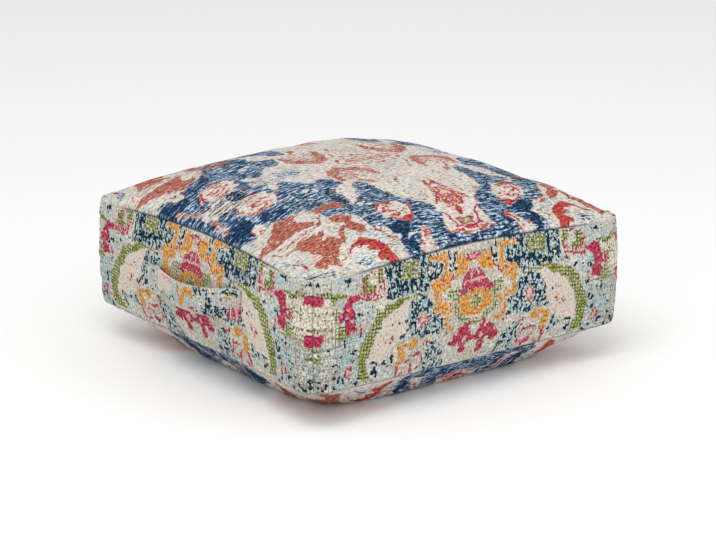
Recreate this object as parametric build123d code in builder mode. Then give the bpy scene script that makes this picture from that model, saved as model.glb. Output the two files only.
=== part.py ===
"""Square floor pouf: a boxed cushion in a printed cloth cover, with a grab handle and a back zip.

Millimetres, +Z up. The origin is on the floor under the middle of the cushion. The front faces -Y,
the handle is on the left side, toward -X, and the zip is across the back, toward +Y.
"""
import os
from math import cos, pi, sqrt

from build123d import *

# The stuffed cushion
seam_width = 610.0
bottom_seam_height = 66.0
side_height = 166.0
crown_height = 76.0
corner_radius = 45.0
side_bulge = 5.0
top_draw = 10.0
middle_draw = 6.0
bottom_draw = 15.0
rest_inset = 95.0

# The crown's level lines above the top seam: reach from the middle, rise and corner radius
crown_reach_shares = (0.88, 0.66, 0.41, 0.14)
crown_rise_shares = (0.40, 0.75, 0.93, 1.0)
crown_corner_shares = (0.50, 0.67, 0.79, 0.90)

# The bottom's level lines below the bottom seam, from the floor up: inset and rise
bottom_inset_shares = (1.0, 0.45)
bottom_rise_shares = (0.0, 0.44)

# Layers, from the outside in
cover_thickness = 1.2
liner_thickness = 0.8
wrap_thickness = 22.0
layer_clearance = 0.3
seat_clearance = 0.2

# The handle strap across the left side
handle_length = 254.0
handle_width = 48.0
handle_bow = 27.0
handle_thickness = 3.4
handle_seat_length = 24.0
handle_burial = 5.0
webbing_thickness = 1.2
handle_hem = 1.2
thread_width = 1.0
thread_rise = 0.5
stitch_margin = 4.0

# The zip across the back
zip_length = 500.0
zip_window_height = 12.0
zip_window_margin = 6.0
tape_thickness = 0.8
tape_width = 16.0
tape_margin = 12.0
tooth_row_gap = 1.6
tooth_row_width = 3.2
tooth_thickness = 1.6
tooth_pitch = 5.0
tooth_gap = 1.4
tooth_root_width = 1.2
stop_length = 3.0
slider_length = 11.0
slider_width = 9.0
slider_plate_thickness = 1.1
slider_post_width = 1.0
slider_post_length = 3.0
slider_clearance = 0.3
hinge_bar_radius = 0.7
hinge_ear_thickness = 0.9
hinge_ear_reach = 1.3
pull_eye_wall = 0.7
pull_eye_length = 4.0
pull_length = 30.0
pull_width = 8.0
pull_thickness = 1.2
pull_neck_length = 3.2

# Places that follow from the sizes
half_width = seam_width / 2
top_seam_height = bottom_seam_height + side_height
middle_height = bottom_seam_height + side_height / 2
back_face = half_width + side_bulge
tape_side_inset = cover_thickness + seat_clearance
liner_side_inset = tape_side_inset + tape_thickness + slider_plate_thickness + 2 * slider_clearance
liner_flat_inset = cover_thickness + layer_clearance
sides = ("front", "right", "back", "left")


def turned(x, y, quarter_turns):
    """A point of the front side's plan, turned to another side."""
    return Vector(x, y).rotate(Axis.Z, 90 * quarter_turns)


def level_outline(half, radius, draws):
    """One level line: four drawn-in sides and four round corners, from the front side on."""
    straight = half - radius
    corner = straight + radius * cos(pi / 4)
    with BuildLine() as line:
        for side, draw in enumerate(draws):
            start = turned(-straight, -half, side)
            end = turned(straight, -half, side)
            if draw > 0:
                ThreePointArc(start, turned(0, draw - half, side), end)
            else:
                Line(start, end)
            ThreePointArc(end, turned(corner, -corner, side), turned(half, -straight, side))
    return line


def level_face(height, half, radius, draws):
    """The level line at its height, as a flat face for a loft."""
    with BuildSketch(Plane.XY.offset(height)) as sketch:
        add(level_outline(half, radius, draws).line)
        make_face()
    return sketch.sketch


def seam_face(height, side_inset, draw):
    """The level line of a seam, drawn in alike on all four sides."""
    return level_face(height, half_width - side_inset, corner_radius - side_inset, [draw] * len(sides))


def crown_levels(side_inset, flat_inset):
    """Faces of the top, from the top seam up to the small flat in the middle."""
    faces = [seam_face(top_seam_height, side_inset, top_draw)]
    for reach, rise, corner in zip(crown_reach_shares, crown_rise_shares, crown_corner_shares):
        half = reach * half_width - side_inset
        height = top_seam_height + rise * (crown_height - flat_inset)
        faces.append(level_face(height, half, corner * half, [0] * len(sides)))
    return faces


def side_levels(side_inset):
    """Faces of the box side: both seams, and the swell between them, which is straight at the zip."""
    middle_half = half_width + side_bulge - side_inset
    middle_radius = corner_radius + side_bulge - side_inset
    middle_draws = [0 if side == "back" else middle_draw for side in sides]
    return [
        seam_face(bottom_seam_height, side_inset, bottom_draw),
        level_face(middle_height, middle_half, middle_radius, middle_draws),
        seam_face(top_seam_height, side_inset, top_draw),
    ]


def bottom_levels(side_inset, flat_inset):
    """Faces of the bottom, from the flat on the floor up to the bottom seam."""
    faces = []
    for inset, rise in zip(bottom_inset_shares, bottom_rise_shares):
        half = half_width - inset * rest_inset - side_inset
        radius = corner_radius + inset * rest_inset - side_inset
        height = flat_inset + rise * (bottom_seam_height - flat_inset)
        draw = bottom_draw * (1 - inset)
        faces.append(level_face(height, half, radius, [draw] * len(sides)))
    return faces + [seam_face(bottom_seam_height, side_inset, bottom_draw)]


def shell(outer_levels, inner_levels):
    """The layer between two lofts that end on the same seam planes."""
    with BuildPart() as layer:
        loft(outer_levels)
        loft(inner_levels, mode=Mode.SUBTRACT)
    return layer.part


def side_wedge(side):
    """The quarter of the plan that belongs to one side, cut at the two corner seams."""
    far = seam_width
    turn = sides.index(side)
    with BuildPart() as wedge:
        with BuildSketch():
            with BuildLine():
                Polyline(turned(0, 0, turn), turned(-far, -far, turn), turned(far, -far, turn), close=True)
            make_face()
        extrude(amount=top_seam_height + crown_height)
    return wedge.part


def finish(piece, label):
    """Name a piece and write it."""
    piece.part.label = label
    export_step(piece.part, f"parts/{label}.step")


os.makedirs("parts", exist_ok=True)

# Cover: top and bottom
with BuildPart() as top_panel:
    add(shell(crown_levels(0, 0), crown_levels(cover_thickness, cover_thickness)))
finish(top_panel, "top_panel")

with BuildPart() as bottom_panel:
    add(shell(bottom_levels(0, 0), bottom_levels(cover_thickness, cover_thickness)))
finish(bottom_panel, "bottom_panel")

# Cover: the box side, one panel from corner seam to corner seam
side_ring = shell(side_levels(0), side_levels(cover_thickness))

for side in ("front", "right", "left"):
    with BuildPart() as side_panel:
        add(side_ring)
        add(side_wedge(side), mode=Mode.INTERSECT)
    finish(side_panel, f"{side}_panel")

for name, keep in (("back_panel_upper", Keep.TOP), ("back_panel_lower", Keep.BOTTOM)):
    with BuildPart() as back_panel:
        add(side_ring)
        add(side_wedge("back"), mode=Mode.INTERSECT)
        with Locations((0, back_face, middle_height)):
            Box(zip_length + 2 * zip_window_margin, side_bulge + rest_inset, zip_window_height, mode=Mode.SUBTRACT)
        split(bisect_by=Plane.XY.offset(middle_height), keep=keep)
    finish(back_panel, name)

# Zip: tapes behind the panel edges, which follow the back's curve
tape_ring = shell(side_levels(tape_side_inset), side_levels(tape_side_inset + tape_thickness))
tape_length = zip_length + 2 * zip_window_margin + 2 * tape_margin

for name, up in (("zip_tape_upper", 1), ("zip_tape_lower", -1)):
    with BuildPart() as zip_tape:
        add(tape_ring)
        with Locations((0, back_face, middle_height + up * (tooth_row_gap + tape_width) / 2)):
            Box(tape_length, seam_width, tape_width, mode=Mode.INTERSECT)
    finish(zip_tape, name)

# Zip: two rows of teeth on the tapes, half a pitch apart, with a way for the slider's post between
tooth_back = back_face - tape_side_inset + seat_clearance
tooth_front = tooth_back + tooth_thickness
tooth_count = int(zip_length / tooth_pitch) - 1
row_middle = (tooth_row_gap + tooth_row_width) / 2

for name, up in (("zip_teeth_upper", 1), ("zip_teeth_lower", -1)):
    root_height = middle_height + up * (tooth_row_gap / 2 + tooth_row_width - tooth_root_width / 2)
    with BuildPart() as zip_teeth:
        with BuildSketch(Plane.XZ.offset(-tooth_back)):
            with Locations((0, root_height)):
                Rectangle(zip_length, tooth_root_width)
            with Locations((up * tooth_pitch / 4, middle_height + up * row_middle)):
                with GridLocations(tooth_pitch, tooth_pitch, tooth_count, 1):
                    Rectangle(tooth_pitch - tooth_gap, tooth_row_width)
        extrude(amount=-tooth_thickness)
    finish(zip_teeth, name)

# Zip: stops at both ends of the rows
with BuildPart() as zip_top_stops:
    with BuildSketch(Plane.XZ.offset(-tooth_back)):
        with Locations((zip_length / 2 + stop_length / 2, middle_height)):
            with GridLocations(stop_length, 2 * row_middle, 1, 2):
                Rectangle(stop_length, tooth_row_width)
    extrude(amount=-tooth_thickness)
finish(zip_top_stops, "zip_top_stops")

with BuildPart() as zip_bottom_stop:
    with BuildSketch(Plane.XZ.offset(-tooth_back)):
        with Locations((-zip_length / 2 - stop_length / 2, middle_height)):
            Rectangle(stop_length, tooth_row_gap + 2 * tooth_row_width)
    extrude(amount=-tooth_thickness)
finish(zip_bottom_stop, "zip_bottom_stop")

# Zip: slider, closed against the top stops, with a plate on each side of the teeth
slider_middle = zip_length / 2 - slider_clearance - slider_length / 2
front_plate = tooth_front + slider_clearance
back_plate = back_face - liner_side_inset + slider_clearance
eye_radius = hinge_bar_radius + slider_clearance + pull_eye_wall
hinge_height = front_plate + slider_plate_thickness + slider_clearance + eye_radius
post_middle = slider_middle + slider_length / 2 - slider_post_length / 2
ear_middle = (pull_eye_length + hinge_ear_thickness) / 2 + slider_clearance

with BuildPart() as zip_slider:
    for plate in (front_plate, back_plate):
        with BuildSketch(Plane.XZ.offset(-plate)):
            with Locations((slider_middle, middle_height)):
                RectangleRounded(slider_length, slider_width, slider_width / 4)
        extrude(amount=-slider_plate_thickness)
    with BuildSketch(Plane.XZ.offset(-back_plate)):
        with Locations((post_middle, middle_height)):
            Rectangle(slider_post_length, slider_post_width)
    extrude(amount=-(front_plate + slider_plate_thickness - back_plate))
    with BuildSketch(Plane.XZ.offset(-front_plate)):
        with Locations((slider_middle, middle_height)):
            with GridLocations(slider_length, 2 * ear_middle, 1, 2):
                Rectangle(2 * hinge_ear_reach, hinge_ear_thickness)
    extrude(amount=-(hinge_height + hinge_bar_radius + hinge_ear_thickness / 2 - front_plate))
    with Locations((slider_middle, hinge_height, middle_height)):
        Cylinder(hinge_bar_radius, 2 * ear_middle)
finish(zip_slider, "zip_slider")

# Zip: pull tab on the slider's hinge bar, lying back over the closed teeth
with BuildPart() as zip_pull:
    with BuildSketch(Plane.XZ.offset(-(hinge_height - pull_thickness / 2))):
        with Locations((slider_middle - pull_length / 2, middle_height)):
            Rectangle(pull_length, pull_eye_length)
        with Locations((slider_middle - (pull_length + pull_neck_length) / 2, middle_height)):
            RectangleRounded(pull_length - pull_neck_length, pull_width, pull_width / 4)
    extrude(amount=-pull_thickness)
    with Locations((slider_middle, hinge_height, middle_height)):
        Cylinder(eye_radius, pull_eye_length)
        Cylinder(hinge_bar_radius + slider_clearance, pull_eye_length, mode=Mode.SUBTRACT)
finish(zip_pull, "zip_pull")

# Handle: a folded strip that is sewn flat at both ends and bows out between them
seat_inner = half_width + side_bulge - middle_draw
seat_outer = seat_inner + handle_thickness + middle_draw / 4
free_half = handle_length / 2 - handle_seat_length
arc_rise = seat_inner + handle_bow + handle_thickness - seat_outer
arc_radius = (free_half**2 + arc_rise**2) / (2 * arc_rise)
arc_centre = seat_outer + arc_rise - arc_radius
webbing_outer = arc_radius - (handle_thickness - webbing_thickness) / 2
webbing_inner = webbing_outer - webbing_thickness


def handle_band(outer_radius, inner_radius, half_length, low, high):
    """A piece of the bowed band between two radii, from one height to another."""
    outer_out = arc_centre + sqrt(outer_radius**2 - half_length**2)
    inner_out = arc_centre + sqrt(inner_radius**2 - half_length**2)
    with BuildPart() as band:
        with BuildSketch(Plane.XY.offset(low)):
            with BuildLine():
                outer = ThreePointArc(
                    (-outer_out, -half_length),
                    (-arc_centre - outer_radius, 0),
                    (-outer_out, half_length),
                )
                inner = ThreePointArc(
                    (-inner_out, -half_length),
                    (-arc_centre - inner_radius, 0),
                    (-inner_out, half_length),
                )
                Line(outer @ 0, inner @ 0)
                Line(outer @ 1, inner @ 1)
            make_face()
        extrude(amount=high - low)
    return band.part


handle_low = middle_height - handle_width / 2
handle_high = middle_height + handle_width / 2
seat_middle = handle_length / 2 - handle_seat_length / 2
webbing_half = free_half - handle_hem
webbing_piece = handle_band(webbing_outer, webbing_inner, webbing_half, handle_low, handle_high - handle_hem)

with BuildPart() as handle_webbing:
    add(webbing_piece)
finish(handle_webbing, "handle_webbing")

with BuildPart() as handle_strap:
    add(handle_band(arc_radius, arc_radius - handle_thickness, free_half, handle_low, handle_high))
    with Locations((-(seat_outer - handle_burial / 2), 0, middle_height)):
        with GridLocations(handle_burial, 2 * seat_middle, 1, 2):
            Box(handle_burial, handle_seat_length, handle_width)
    add(webbing_piece, mode=Mode.SUBTRACT)
    loft(side_levels(0), mode=Mode.SUBTRACT)
finish(handle_strap, "handle_strap")

with BuildPart() as handle_stitches:
    with BuildSketch(Plane.YZ.offset(-seat_outer)):
        with Locations((0, middle_height)):
            with GridLocations(2 * seat_middle, handle_width, 2, 1):
                Rectangle(handle_seat_length - stitch_margin, handle_width - 2 * stitch_margin)
                Rectangle(
                    handle_seat_length - stitch_margin - 2 * thread_width,
                    handle_width - 2 * stitch_margin - 2 * thread_width,
                    mode=Mode.SUBTRACT,
                )
    extrude(amount=-thread_rise)
finish(handle_stitches, "handle_stitches")

# Filling: three layers that nest inside the cover, and the block in the middle
wrap_side_inset = liner_side_inset + liner_thickness + layer_clearance
wrap_flat_inset = liner_flat_inset + liner_thickness + layer_clearance
core_side_inset = wrap_side_inset + wrap_thickness + layer_clearance
core_flat_inset = wrap_flat_inset + wrap_thickness + layer_clearance

layers = (
    ("liner", liner_side_inset, liner_flat_inset, liner_thickness),
    ("wrap", wrap_side_inset, wrap_flat_inset, wrap_thickness),
)
for layer_name, side_inset, flat_inset, thickness in layers:
    inner_side = side_inset + thickness
    inner_flat = flat_inset + thickness
    with BuildPart() as layer_top:
        add(shell(crown_levels(side_inset, flat_inset), crown_levels(inner_side, inner_flat)))
    finish(layer_top, f"{layer_name}_top")
    with BuildPart() as layer_band:
        add(shell(side_levels(side_inset), side_levels(inner_side)))
    finish(layer_band, f"{layer_name}_band")
    with BuildPart() as layer_bottom:
        add(shell(bottom_levels(side_inset, flat_inset), bottom_levels(inner_side, inner_flat)))
    finish(layer_bottom, f"{layer_name}_bottom")

with BuildPart() as foam_core:
    loft(bottom_levels(core_side_inset, core_flat_inset))
    loft(side_levels(core_side_inset))
    loft(crown_levels(core_side_inset, core_flat_inset))
finish(foam_core, "foam_core")
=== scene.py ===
"""Square floor pouf in a printed cotton cover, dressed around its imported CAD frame.

All lengths in the making are millimetres in the CAD frame, and the meshes are written in metres.
The cover is seven panels, each a surface of two parameters that runs from seam to seam. Its print is
painted as depths: for every ink, how many millimetres a point lies inside that ink's nearest edge.
"""
import math
from functools import partial

import bpy
import numpy as np
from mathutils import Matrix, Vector


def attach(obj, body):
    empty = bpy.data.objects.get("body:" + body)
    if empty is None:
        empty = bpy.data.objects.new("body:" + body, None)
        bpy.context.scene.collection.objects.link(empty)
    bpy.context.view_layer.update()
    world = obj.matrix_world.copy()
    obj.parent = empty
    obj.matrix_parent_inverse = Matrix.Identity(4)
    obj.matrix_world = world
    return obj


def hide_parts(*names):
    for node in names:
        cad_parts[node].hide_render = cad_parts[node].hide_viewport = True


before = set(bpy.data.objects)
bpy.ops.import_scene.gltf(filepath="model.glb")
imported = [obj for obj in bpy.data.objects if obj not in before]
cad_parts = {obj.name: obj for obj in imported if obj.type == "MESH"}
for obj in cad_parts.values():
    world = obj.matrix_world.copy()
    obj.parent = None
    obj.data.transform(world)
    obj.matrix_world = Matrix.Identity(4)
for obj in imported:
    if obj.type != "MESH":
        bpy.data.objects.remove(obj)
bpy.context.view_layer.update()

MM = 0.001

# The stuffed cushion, in the photographed part's lengths
HALF = 305.0
BULGE = 5.0
CORNER_RADIUS = 37.9
TOP_DRAW = 10.5
MIDDLE_DRAW = 4.0
BOTTOM_DRAW = 28.1
BOTTOM_SEAM = 61.0
SIDE_RISE = 170.6
BOTTOM_SEAM_SAG = -14.0
TOP_SEAM_LIFT = 8.6
CROWN = 59.2
CROWN_POWER = 3.44
CROWN_ROUND = 0.77
BASE_DROP = 109.0
BASE_POWER = 3.67
BASE_ROUND = 1.27
FLOOR_SOFTNESS = 4.0
ARC = math.pi / 4
SEAM_BOW_ENDS = 1.12
# The height of the zip, and the margins of the box from which the way out is measured
MIDDLE = 149.0
CORE_MARGIN = 70.0
CORE_MARGIN_UP = 40.0

# Seams: how far they pull in, over what width, and how far the turned-in edge reaches
SEAM_DIP = 0.8
SEAM_WIDTH = 2.0
SEAM_TURN_IN = (1.2, 3.0, 6.0)
DIP_WAVE = 34.0
# Their dark creases, painted shade: a full one along the middle of a side fades toward the corners
CREASE_WIDTH = 1.2
CREASE_AT_CORNER = 0.1
CREASE_UPRIGHT = 0.5
CREASE_END = 240.0
CREASE_FADE = 40.0
# Puckers beside the seams, and the slow swells of the stuffing: height, length and seed of each
PUCKER = 0.9
PUCKER_REACH = 20.0
PUCKER_WAVES = ((1.0, 17.0, 8), (0.6, 9.0, 9))
CORNER_BLEND = 30.0
SWELLS = ((1.3, 150.0, 3), (0.5, 60.0, 4))
SWELL_REACH = 60.0
FLOOR_CALM = (2.0, 20.0)

# The print's own lengths: half a side between its corner seams, the side's height, the top's half
PRINT_SIDE = 296.0
PRINT_HEIGHT = 170.0
PRINT_TOP = 300.0

# How much closer the rows of points lie toward the seams: on the squares, along a side and up it
SQUARE_TIGHTEN = 0.25
SIDE_TIGHTEN = 0.12
RISE_TIGHTEN = 0.2


# Fields and noise

RIPPLE_WAVES = 14


def smooth(x):
    """A step from 0 to 1 that starts and ends level: 3x squared less 2x cubed, x held to 0..1."""
    x = np.clip(x, 0, 1)
    return x * x * (3 - 2 * x)


def ripple(points, size, seed):
    """Even noise of about -1..1: a sum of sine waves of random direction and phase, size mm apart."""
    random = np.random.default_rng(seed)
    total = np.zeros(points.shape[:-1])
    for _ in range(RIPPLE_WAVES):
        direction = random.normal(size=3)
        direction /= np.linalg.norm(direction)
        pace = 2 * math.pi / (size * random.uniform(0.7, 1.5))
        turns = points @ (direction * pace)
        total += np.sin(turns + random.uniform(0, 2 * math.pi))
    return total / math.sqrt(RIPPLE_WAVES / 2)


# The cushion's surfaces

def turned(x, y, quarters):
    """The plan point turned by quarters of a circle about the middle."""
    c, s = ((1, 0), (0, 1), (-1, 0), (0, -1))[quarters % 4]
    return c * x - s * y, s * x + c * y


def side_plan(s, half, radius, draw):
    """The front side's plan line: drawn in by draw between two straight ends, then half a corner arc
    at each end. s is the way along it as a share of its half length, -1..1."""
    straight = half - radius
    way = np.abs(s) * (straight + radius * ARC)
    share = np.clip(way / straight, 0, 1)
    angle = np.clip((way - straight) / radius, 0, ARC)
    x = np.where(way <= straight, way, straight + radius * np.sin(angle))
    y = np.where(way <= straight, draw * (1 - share**2) ** 1.5, radius * (1 - np.cos(angle))) - half
    return np.sign(s) * x, y


def side_surface(s, t, inset=0.0, middle_draw=MIDDLE_DRAW):
    """The front side: s along it as in side_plan, t from the bottom seam, 0, to the top seam, 1.
    It swells by a parabola in t, and both seams bow away from each other along the side."""
    swell = BULGE * (1 - (2 * t - 1) ** 2) - inset
    bow = (1 - np.clip(np.abs(s) * SEAM_BOW_ENDS, 0, 1) ** 2) ** 1.5
    middle = 4 * t * (1 - t)
    draw = (TOP_DRAW * t + BOTTOM_DRAW * (1 - t)) * (1 - middle) + middle_draw * middle
    x, y = side_plan(s, HALF + swell, CORNER_RADIUS + swell, draw)
    z = BOTTOM_SEAM + SIDE_RISE * t + bow * (BOTTOM_SEAM_SAG * (1 - t) + TOP_SEAM_LIFT * t)
    return x, y, z


def seam_sheet(u, v, t, inset=0.0):
    """A sheet stretched between the four sides of a seam: the sum of the two ruled sheets less the
    one through the corners. u and v run -1..1 from seam to seam."""
    level = np.full_like(u, t)
    sides = []
    for quarters, s in enumerate((u, v, -u, -v)):
        x, y, z = side_surface(s, level, inset)
        sides.append(np.stack([*turned(x, y, quarters), z]))
    front, right, back, left = sides
    x, y, z = side_surface(np.array([1.0]), np.array([t]), inset)
    near, far = (1 - v) / 2, (1 + v) / 2
    west, east = (1 - u) / 2, (1 + u) / 2
    corners = np.stack([x * (east - west), y * (near - far), z + 0 * u])
    return near * front + far * back + west * left + east * right - corners


def crown_surface(u, v, inset=0.0, drop=0.0):
    """The top: the seam's sheet, raised by the crown times a rounded product of powers of u and v."""
    x, y, z = seam_sheet(u, v, 1.0, inset)
    dome = ((1 - np.abs(u) ** CROWN_POWER) * (1 - np.abs(v) ** CROWN_POWER)) ** CROWN_ROUND
    return x, y, z + (CROWN - drop) * dome


def base_surface(u, v, inset=0.0, lift=0.0):
    """The bottom: the seam's sheet let down like the top, and pressed flat softly on the floor."""
    x, y, z = seam_sheet(u, v, 0.0, inset)
    bowl = ((1 - np.abs(u) ** BASE_POWER) * (1 - np.abs(v) ** BASE_POWER)) ** BASE_ROUND
    z = z - BASE_DROP * bowl
    return x, y, lift + 0.5 * (z - lift + np.sqrt((z - lift) ** 2 + FLOOR_SOFTNESS**2))


def outward(points):
    """The way out of the cushion at each point: away from the nearest point of a smaller box."""
    core = np.array([HALF - CORE_MARGIN, HALF - CORE_MARGIN, SIDE_RISE / 2 - CORE_MARGIN_UP])
    middle = np.array([0.0, 0.0, MIDDLE])
    away = points - middle - np.clip(points - middle, -core, core)
    return away / np.linalg.norm(away, axis=-1, keepdims=True)


def grid_normals(points):
    """The surface normal on a grid of points: the cross product of its two steps, turned outward."""
    normal = np.cross(np.gradient(points, axis=1), np.gradient(points, axis=0))
    normal /= np.maximum(np.linalg.norm(normal, axis=-1, keepdims=True), 1e-9)
    flip = np.sign(np.sum(normal * outward(points), axis=-1, keepdims=True))
    return normal * np.where(flip == 0, 1, flip)


# The cloth simulation: a coarse cover, one closed skin held at its seams and blown up inside them.
# Only its folds are kept, as heights over the smooth cushion, and laid over the fine surfaces.
SIM_CELLS = 60
SIM_ROWS = 17
SIM_FRAMES = 20
SIM_PRESSURE = 4.0
SIM_SPARE_CLOTH = 0.008
# Equal points get equal keys when no point lies halfway between two rounded values
SIM_KEY_SHIFT = 0.0137
SIM_KEY_DIGITS = 2
# The highest fold, the distance over which folds fade in from a seam, and the rounds of evening
# that take out cell-sized noise and the cushion's whole swelling
SIM_CAP = 2.4
SIM_FADE = 30.0
SIM_FINEST = 3
SIM_COARSEST = 50


def side_grid(s, t, quarters, inset=0.0):
    """A grid of points on one of the four sides."""
    x, y, z = side_surface(s, t, inset)
    return np.stack([*turned(x, y, quarters), z], axis=-1)


def evened(grid, rounds):
    """The grid after rounds in which each value becomes the mean of its four neighbours."""
    for _ in range(rounds):
        grid = np.pad(grid, 1, mode="edge")
        grid = (grid[:-2, 1:-1] + grid[2:, 1:-1] + grid[1:-1, :-2] + grid[1:-1, 2:]) / 4
    return grid


def coarse_cover():
    """The cover's panels as grids of points, and all their points, quads and points on seams."""
    run = np.linspace(-1, 1, SIM_CELLS + 1)
    u, v = np.meshgrid(run, run)
    s, t = np.meshgrid(run, np.linspace(0, 1, SIM_ROWS + 1))
    grids = {"top": np.stack(crown_surface(u, v), axis=-1), "bottom": np.stack(base_surface(u, v), axis=-1)}
    grids |= {quarters: side_grid(s, t, quarters) for quarters in range(4)}
    faces, seam, count = [], [], 0
    for name, grid in grids.items():
        rows, columns, _ = grid.shape
        quads = grid_faces(rows, columns) + count
        faces.append(quads[:, ::-1] if name == "bottom" else quads)
        rim = np.ones((rows, columns), bool)
        rim[1:-1, 1:-1] = False
        seam.append(rim.ravel())
        count += rows * columns
    points = np.concatenate([grid.reshape(-1, 3) for grid in grids.values()])
    return grids, points, np.concatenate(faces), np.concatenate(seam)


def blown_up(points, faces, seam):
    """Weld the panels into one skin, hold it at its seams, blow it up, and give each point's move."""
    keys = np.round(points + SIM_KEY_SHIFT, SIM_KEY_DIGITS)
    _, first, welded = np.unique(keys, axis=0, return_index=True, return_inverse=True)
    welded = welded.ravel()
    mesh = bpy.data.meshes.new("cover_press")
    mesh.from_pydata((points[first] * MM).tolist(), [], welded[faces].tolist())
    press = bpy.data.objects.new("cover_press", mesh)
    bpy.context.scene.collection.objects.link(press)
    press.vertex_groups.new(name="sewn").add(np.unique(welded[seam]).tolist(), 1.0, "REPLACE")
    cloth = press.modifiers.new("cloth", "CLOTH")
    cloth.settings.vertex_group_mass = "sewn"
    cloth.settings.use_pressure = True
    cloth.settings.uniform_pressure_force = SIM_PRESSURE
    cloth.settings.shrink_min = -SIM_SPARE_CLOTH
    cloth.settings.effector_weights.gravity = 0.0
    cloth.point_cache.frame_end = SIM_FRAMES
    for frame_number in range(1, SIM_FRAMES + 1):
        bpy.context.scene.frame_set(frame_number)
    blown = press.evaluated_get(bpy.context.evaluated_depsgraph_get()).to_mesh()
    moved = np.empty(len(blown.vertices) * 3, np.float32)
    blown.vertices.foreach_get("co", moved)
    moved = moved.reshape(-1, 3)[welded] / MM - points
    bpy.context.scene.frame_set(1)
    bpy.data.objects.remove(press)
    bpy.data.meshes.remove(mesh)
    return moved


def simulated_folds():
    """Run the cloth, and give for each panel the heights of its folds in mm on the coarse grid."""
    grids, points, faces, seam = coarse_cover()
    moved = blown_up(points, faces, seam)
    folds, at = {}, 0
    for name, grid in grids.items():
        rows, columns, _ = grid.shape
        move = moved[at:at + rows * columns].reshape(grid.shape)
        at += rows * columns
        height = np.sum(move * grid_normals(grid), axis=-1)
        fold = evened(height, SIM_FINEST) - evened(height, SIM_COARSEST)
        folds[name] = SIM_CAP * np.tanh(fold / SIM_CAP)
    return folds


def between(grid, row, column):
    """The grid's value at places between its points, by the two straight shares of its four nearest."""
    r = np.clip(np.floor(row).astype(int), 0, grid.shape[0] - 2)
    c = np.clip(np.floor(column).astype(int), 0, grid.shape[1] - 2)
    y, x = row - r, column - c
    return ((grid[r, c] * (1 - x) + grid[r, c + 1] * x) * (1 - y)
            + (grid[r + 1, c] * (1 - x) + grid[r + 1, c + 1] * x) * y)


def folds_at(panel, across, up):
    """The simulated folds of a panel at places given by shares 0..1 across it and up it."""
    if panel not in FOLDS:
        return np.zeros_like(across)
    rows, columns = FOLDS[panel].shape
    return between(FOLDS[panel], up * (rows - 1), across * (columns - 1))


def settled(points, edge, along_edge, folds, loose):
    """Cloth on the stuffing: it dips to its seams by a bell curve of the distance to the edge, and
    between the dip and the flat it puckers in ripples that run away from the seam and die out.
    The simulated folds come on top, and end at the seams and wherever the cloth isn't loose."""
    near = np.maximum(edge, 0)
    dip = SEAM_DIP * np.exp(-((near / SEAM_WIDTH) ** 2)) * (1 + 0.25 * ripple(points, DIP_WAVE, seed=5))
    wrinkles = sum(height * ripple(along_edge, length, seed) for height, length, seed in PUCKER_WAVES)
    reach = near / PUCKER_REACH
    pucker = PUCKER * wrinkles * reach * np.exp(1 - reach - 0.4 * reach**2)
    swell = sum(height * ripple(points, length, seed) for height, length, seed in SWELLS)
    swell = (swell * smooth(near / SWELL_REACH) + folds * smooth(near / SIM_FADE)) * loose
    swell *= smooth((points[..., 2] - FLOOR_CALM[0]) / FLOOR_CALM[1])
    return points - outward(points) * dip[..., None] + grid_normals(points) * (pucker + swell)[..., None]


# Meshes

def strips(first, second):
    """The quads between rows of corner numbers: along the first row and back along the second."""
    corners = (first[..., :-1], first[..., 1:], second[..., 1:], second[..., :-1])
    return np.stack(corners, axis=-1).reshape(-1, 4)


def grid_faces(rows, columns):
    """Corner numbers of the quads of a grid, row by row."""
    index = np.arange(rows * columns).reshape(rows, columns)
    return strips(index[:-1], index[1:])


def make_mesh(name, points, faces, uv=None, marks=None):
    """A mesh object in metres from points in mm, with only the points that its faces use."""
    used, renumbered = np.unique(faces, return_inverse=True)
    faces = renumbered.reshape(faces.shape)
    co = points.reshape(-1, 3)[used] * MM
    mesh = bpy.data.meshes.new(name)
    mesh.from_pydata(co.tolist(), [], faces.tolist())
    if uv is not None:
        layer = mesh.uv_layers.new(name="ClothUV")
        layer.data.foreach_set("uv", (uv.reshape(-1, 2)[used][faces.ravel()] * MM).ravel())
    for ink, depth in (marks or {}).items():
        mark = mesh.attributes.new(ink, "FLOAT", "POINT")
        mark.data.foreach_set("value", depth.ravel()[used].astype(np.float32))
    mesh.polygons.foreach_set("use_smooth", [True] * len(mesh.polygons))
    mesh.validate()
    mesh.update()
    piece = bpy.data.objects.new(name, mesh)
    bpy.context.scene.collection.objects.link(piece)
    return piece


def even_run(count, tighten=0.0):
    """Numbers from -1 to 1 that lie closer together toward both ends: (1 + k) t less k t cubed."""
    t = np.linspace(-1, 1, count)
    return (1 + tighten) * t - tighten * t**3


def edged(values, steps):
    """The run with its end values repeated, once for each row of the turned-in edge."""
    return np.pad(values, len(steps), mode="edge")


def turned_in(count, steps):
    """How far past the edge each row of a run lies: the steps before it and after it, else 0."""
    return np.concatenate([steps[::-1], np.zeros(count), steps])


def creased(*seams):
    """How dark the painted shade in the seams' creases is: each one's strength times a bell curve of the
    distance.
    """
    return np.max([strength * np.exp(-((far / CREASE_WIDTH) ** 2)) for strength, far in seams], axis=0)


def away_from_corner(reach, at_corner=CREASE_AT_CORNER):
    """A seam's painted crease shade: fainter near its corners and full along the middle of each side."""
    return at_corner + (1 - at_corner) * smooth((CREASE_END - reach) / CREASE_FADE)


def along_seams(u, h, to_corner, to_seam, start=0.0):
    """The way along the nearest seam, which passes from one seam to the next near a corner."""
    share = smooth((to_corner - to_seam) / CORNER_BLEND + 0.5)
    return np.stack([u * share + start, h * (1 - share), 0 * u], axis=-1)


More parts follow.
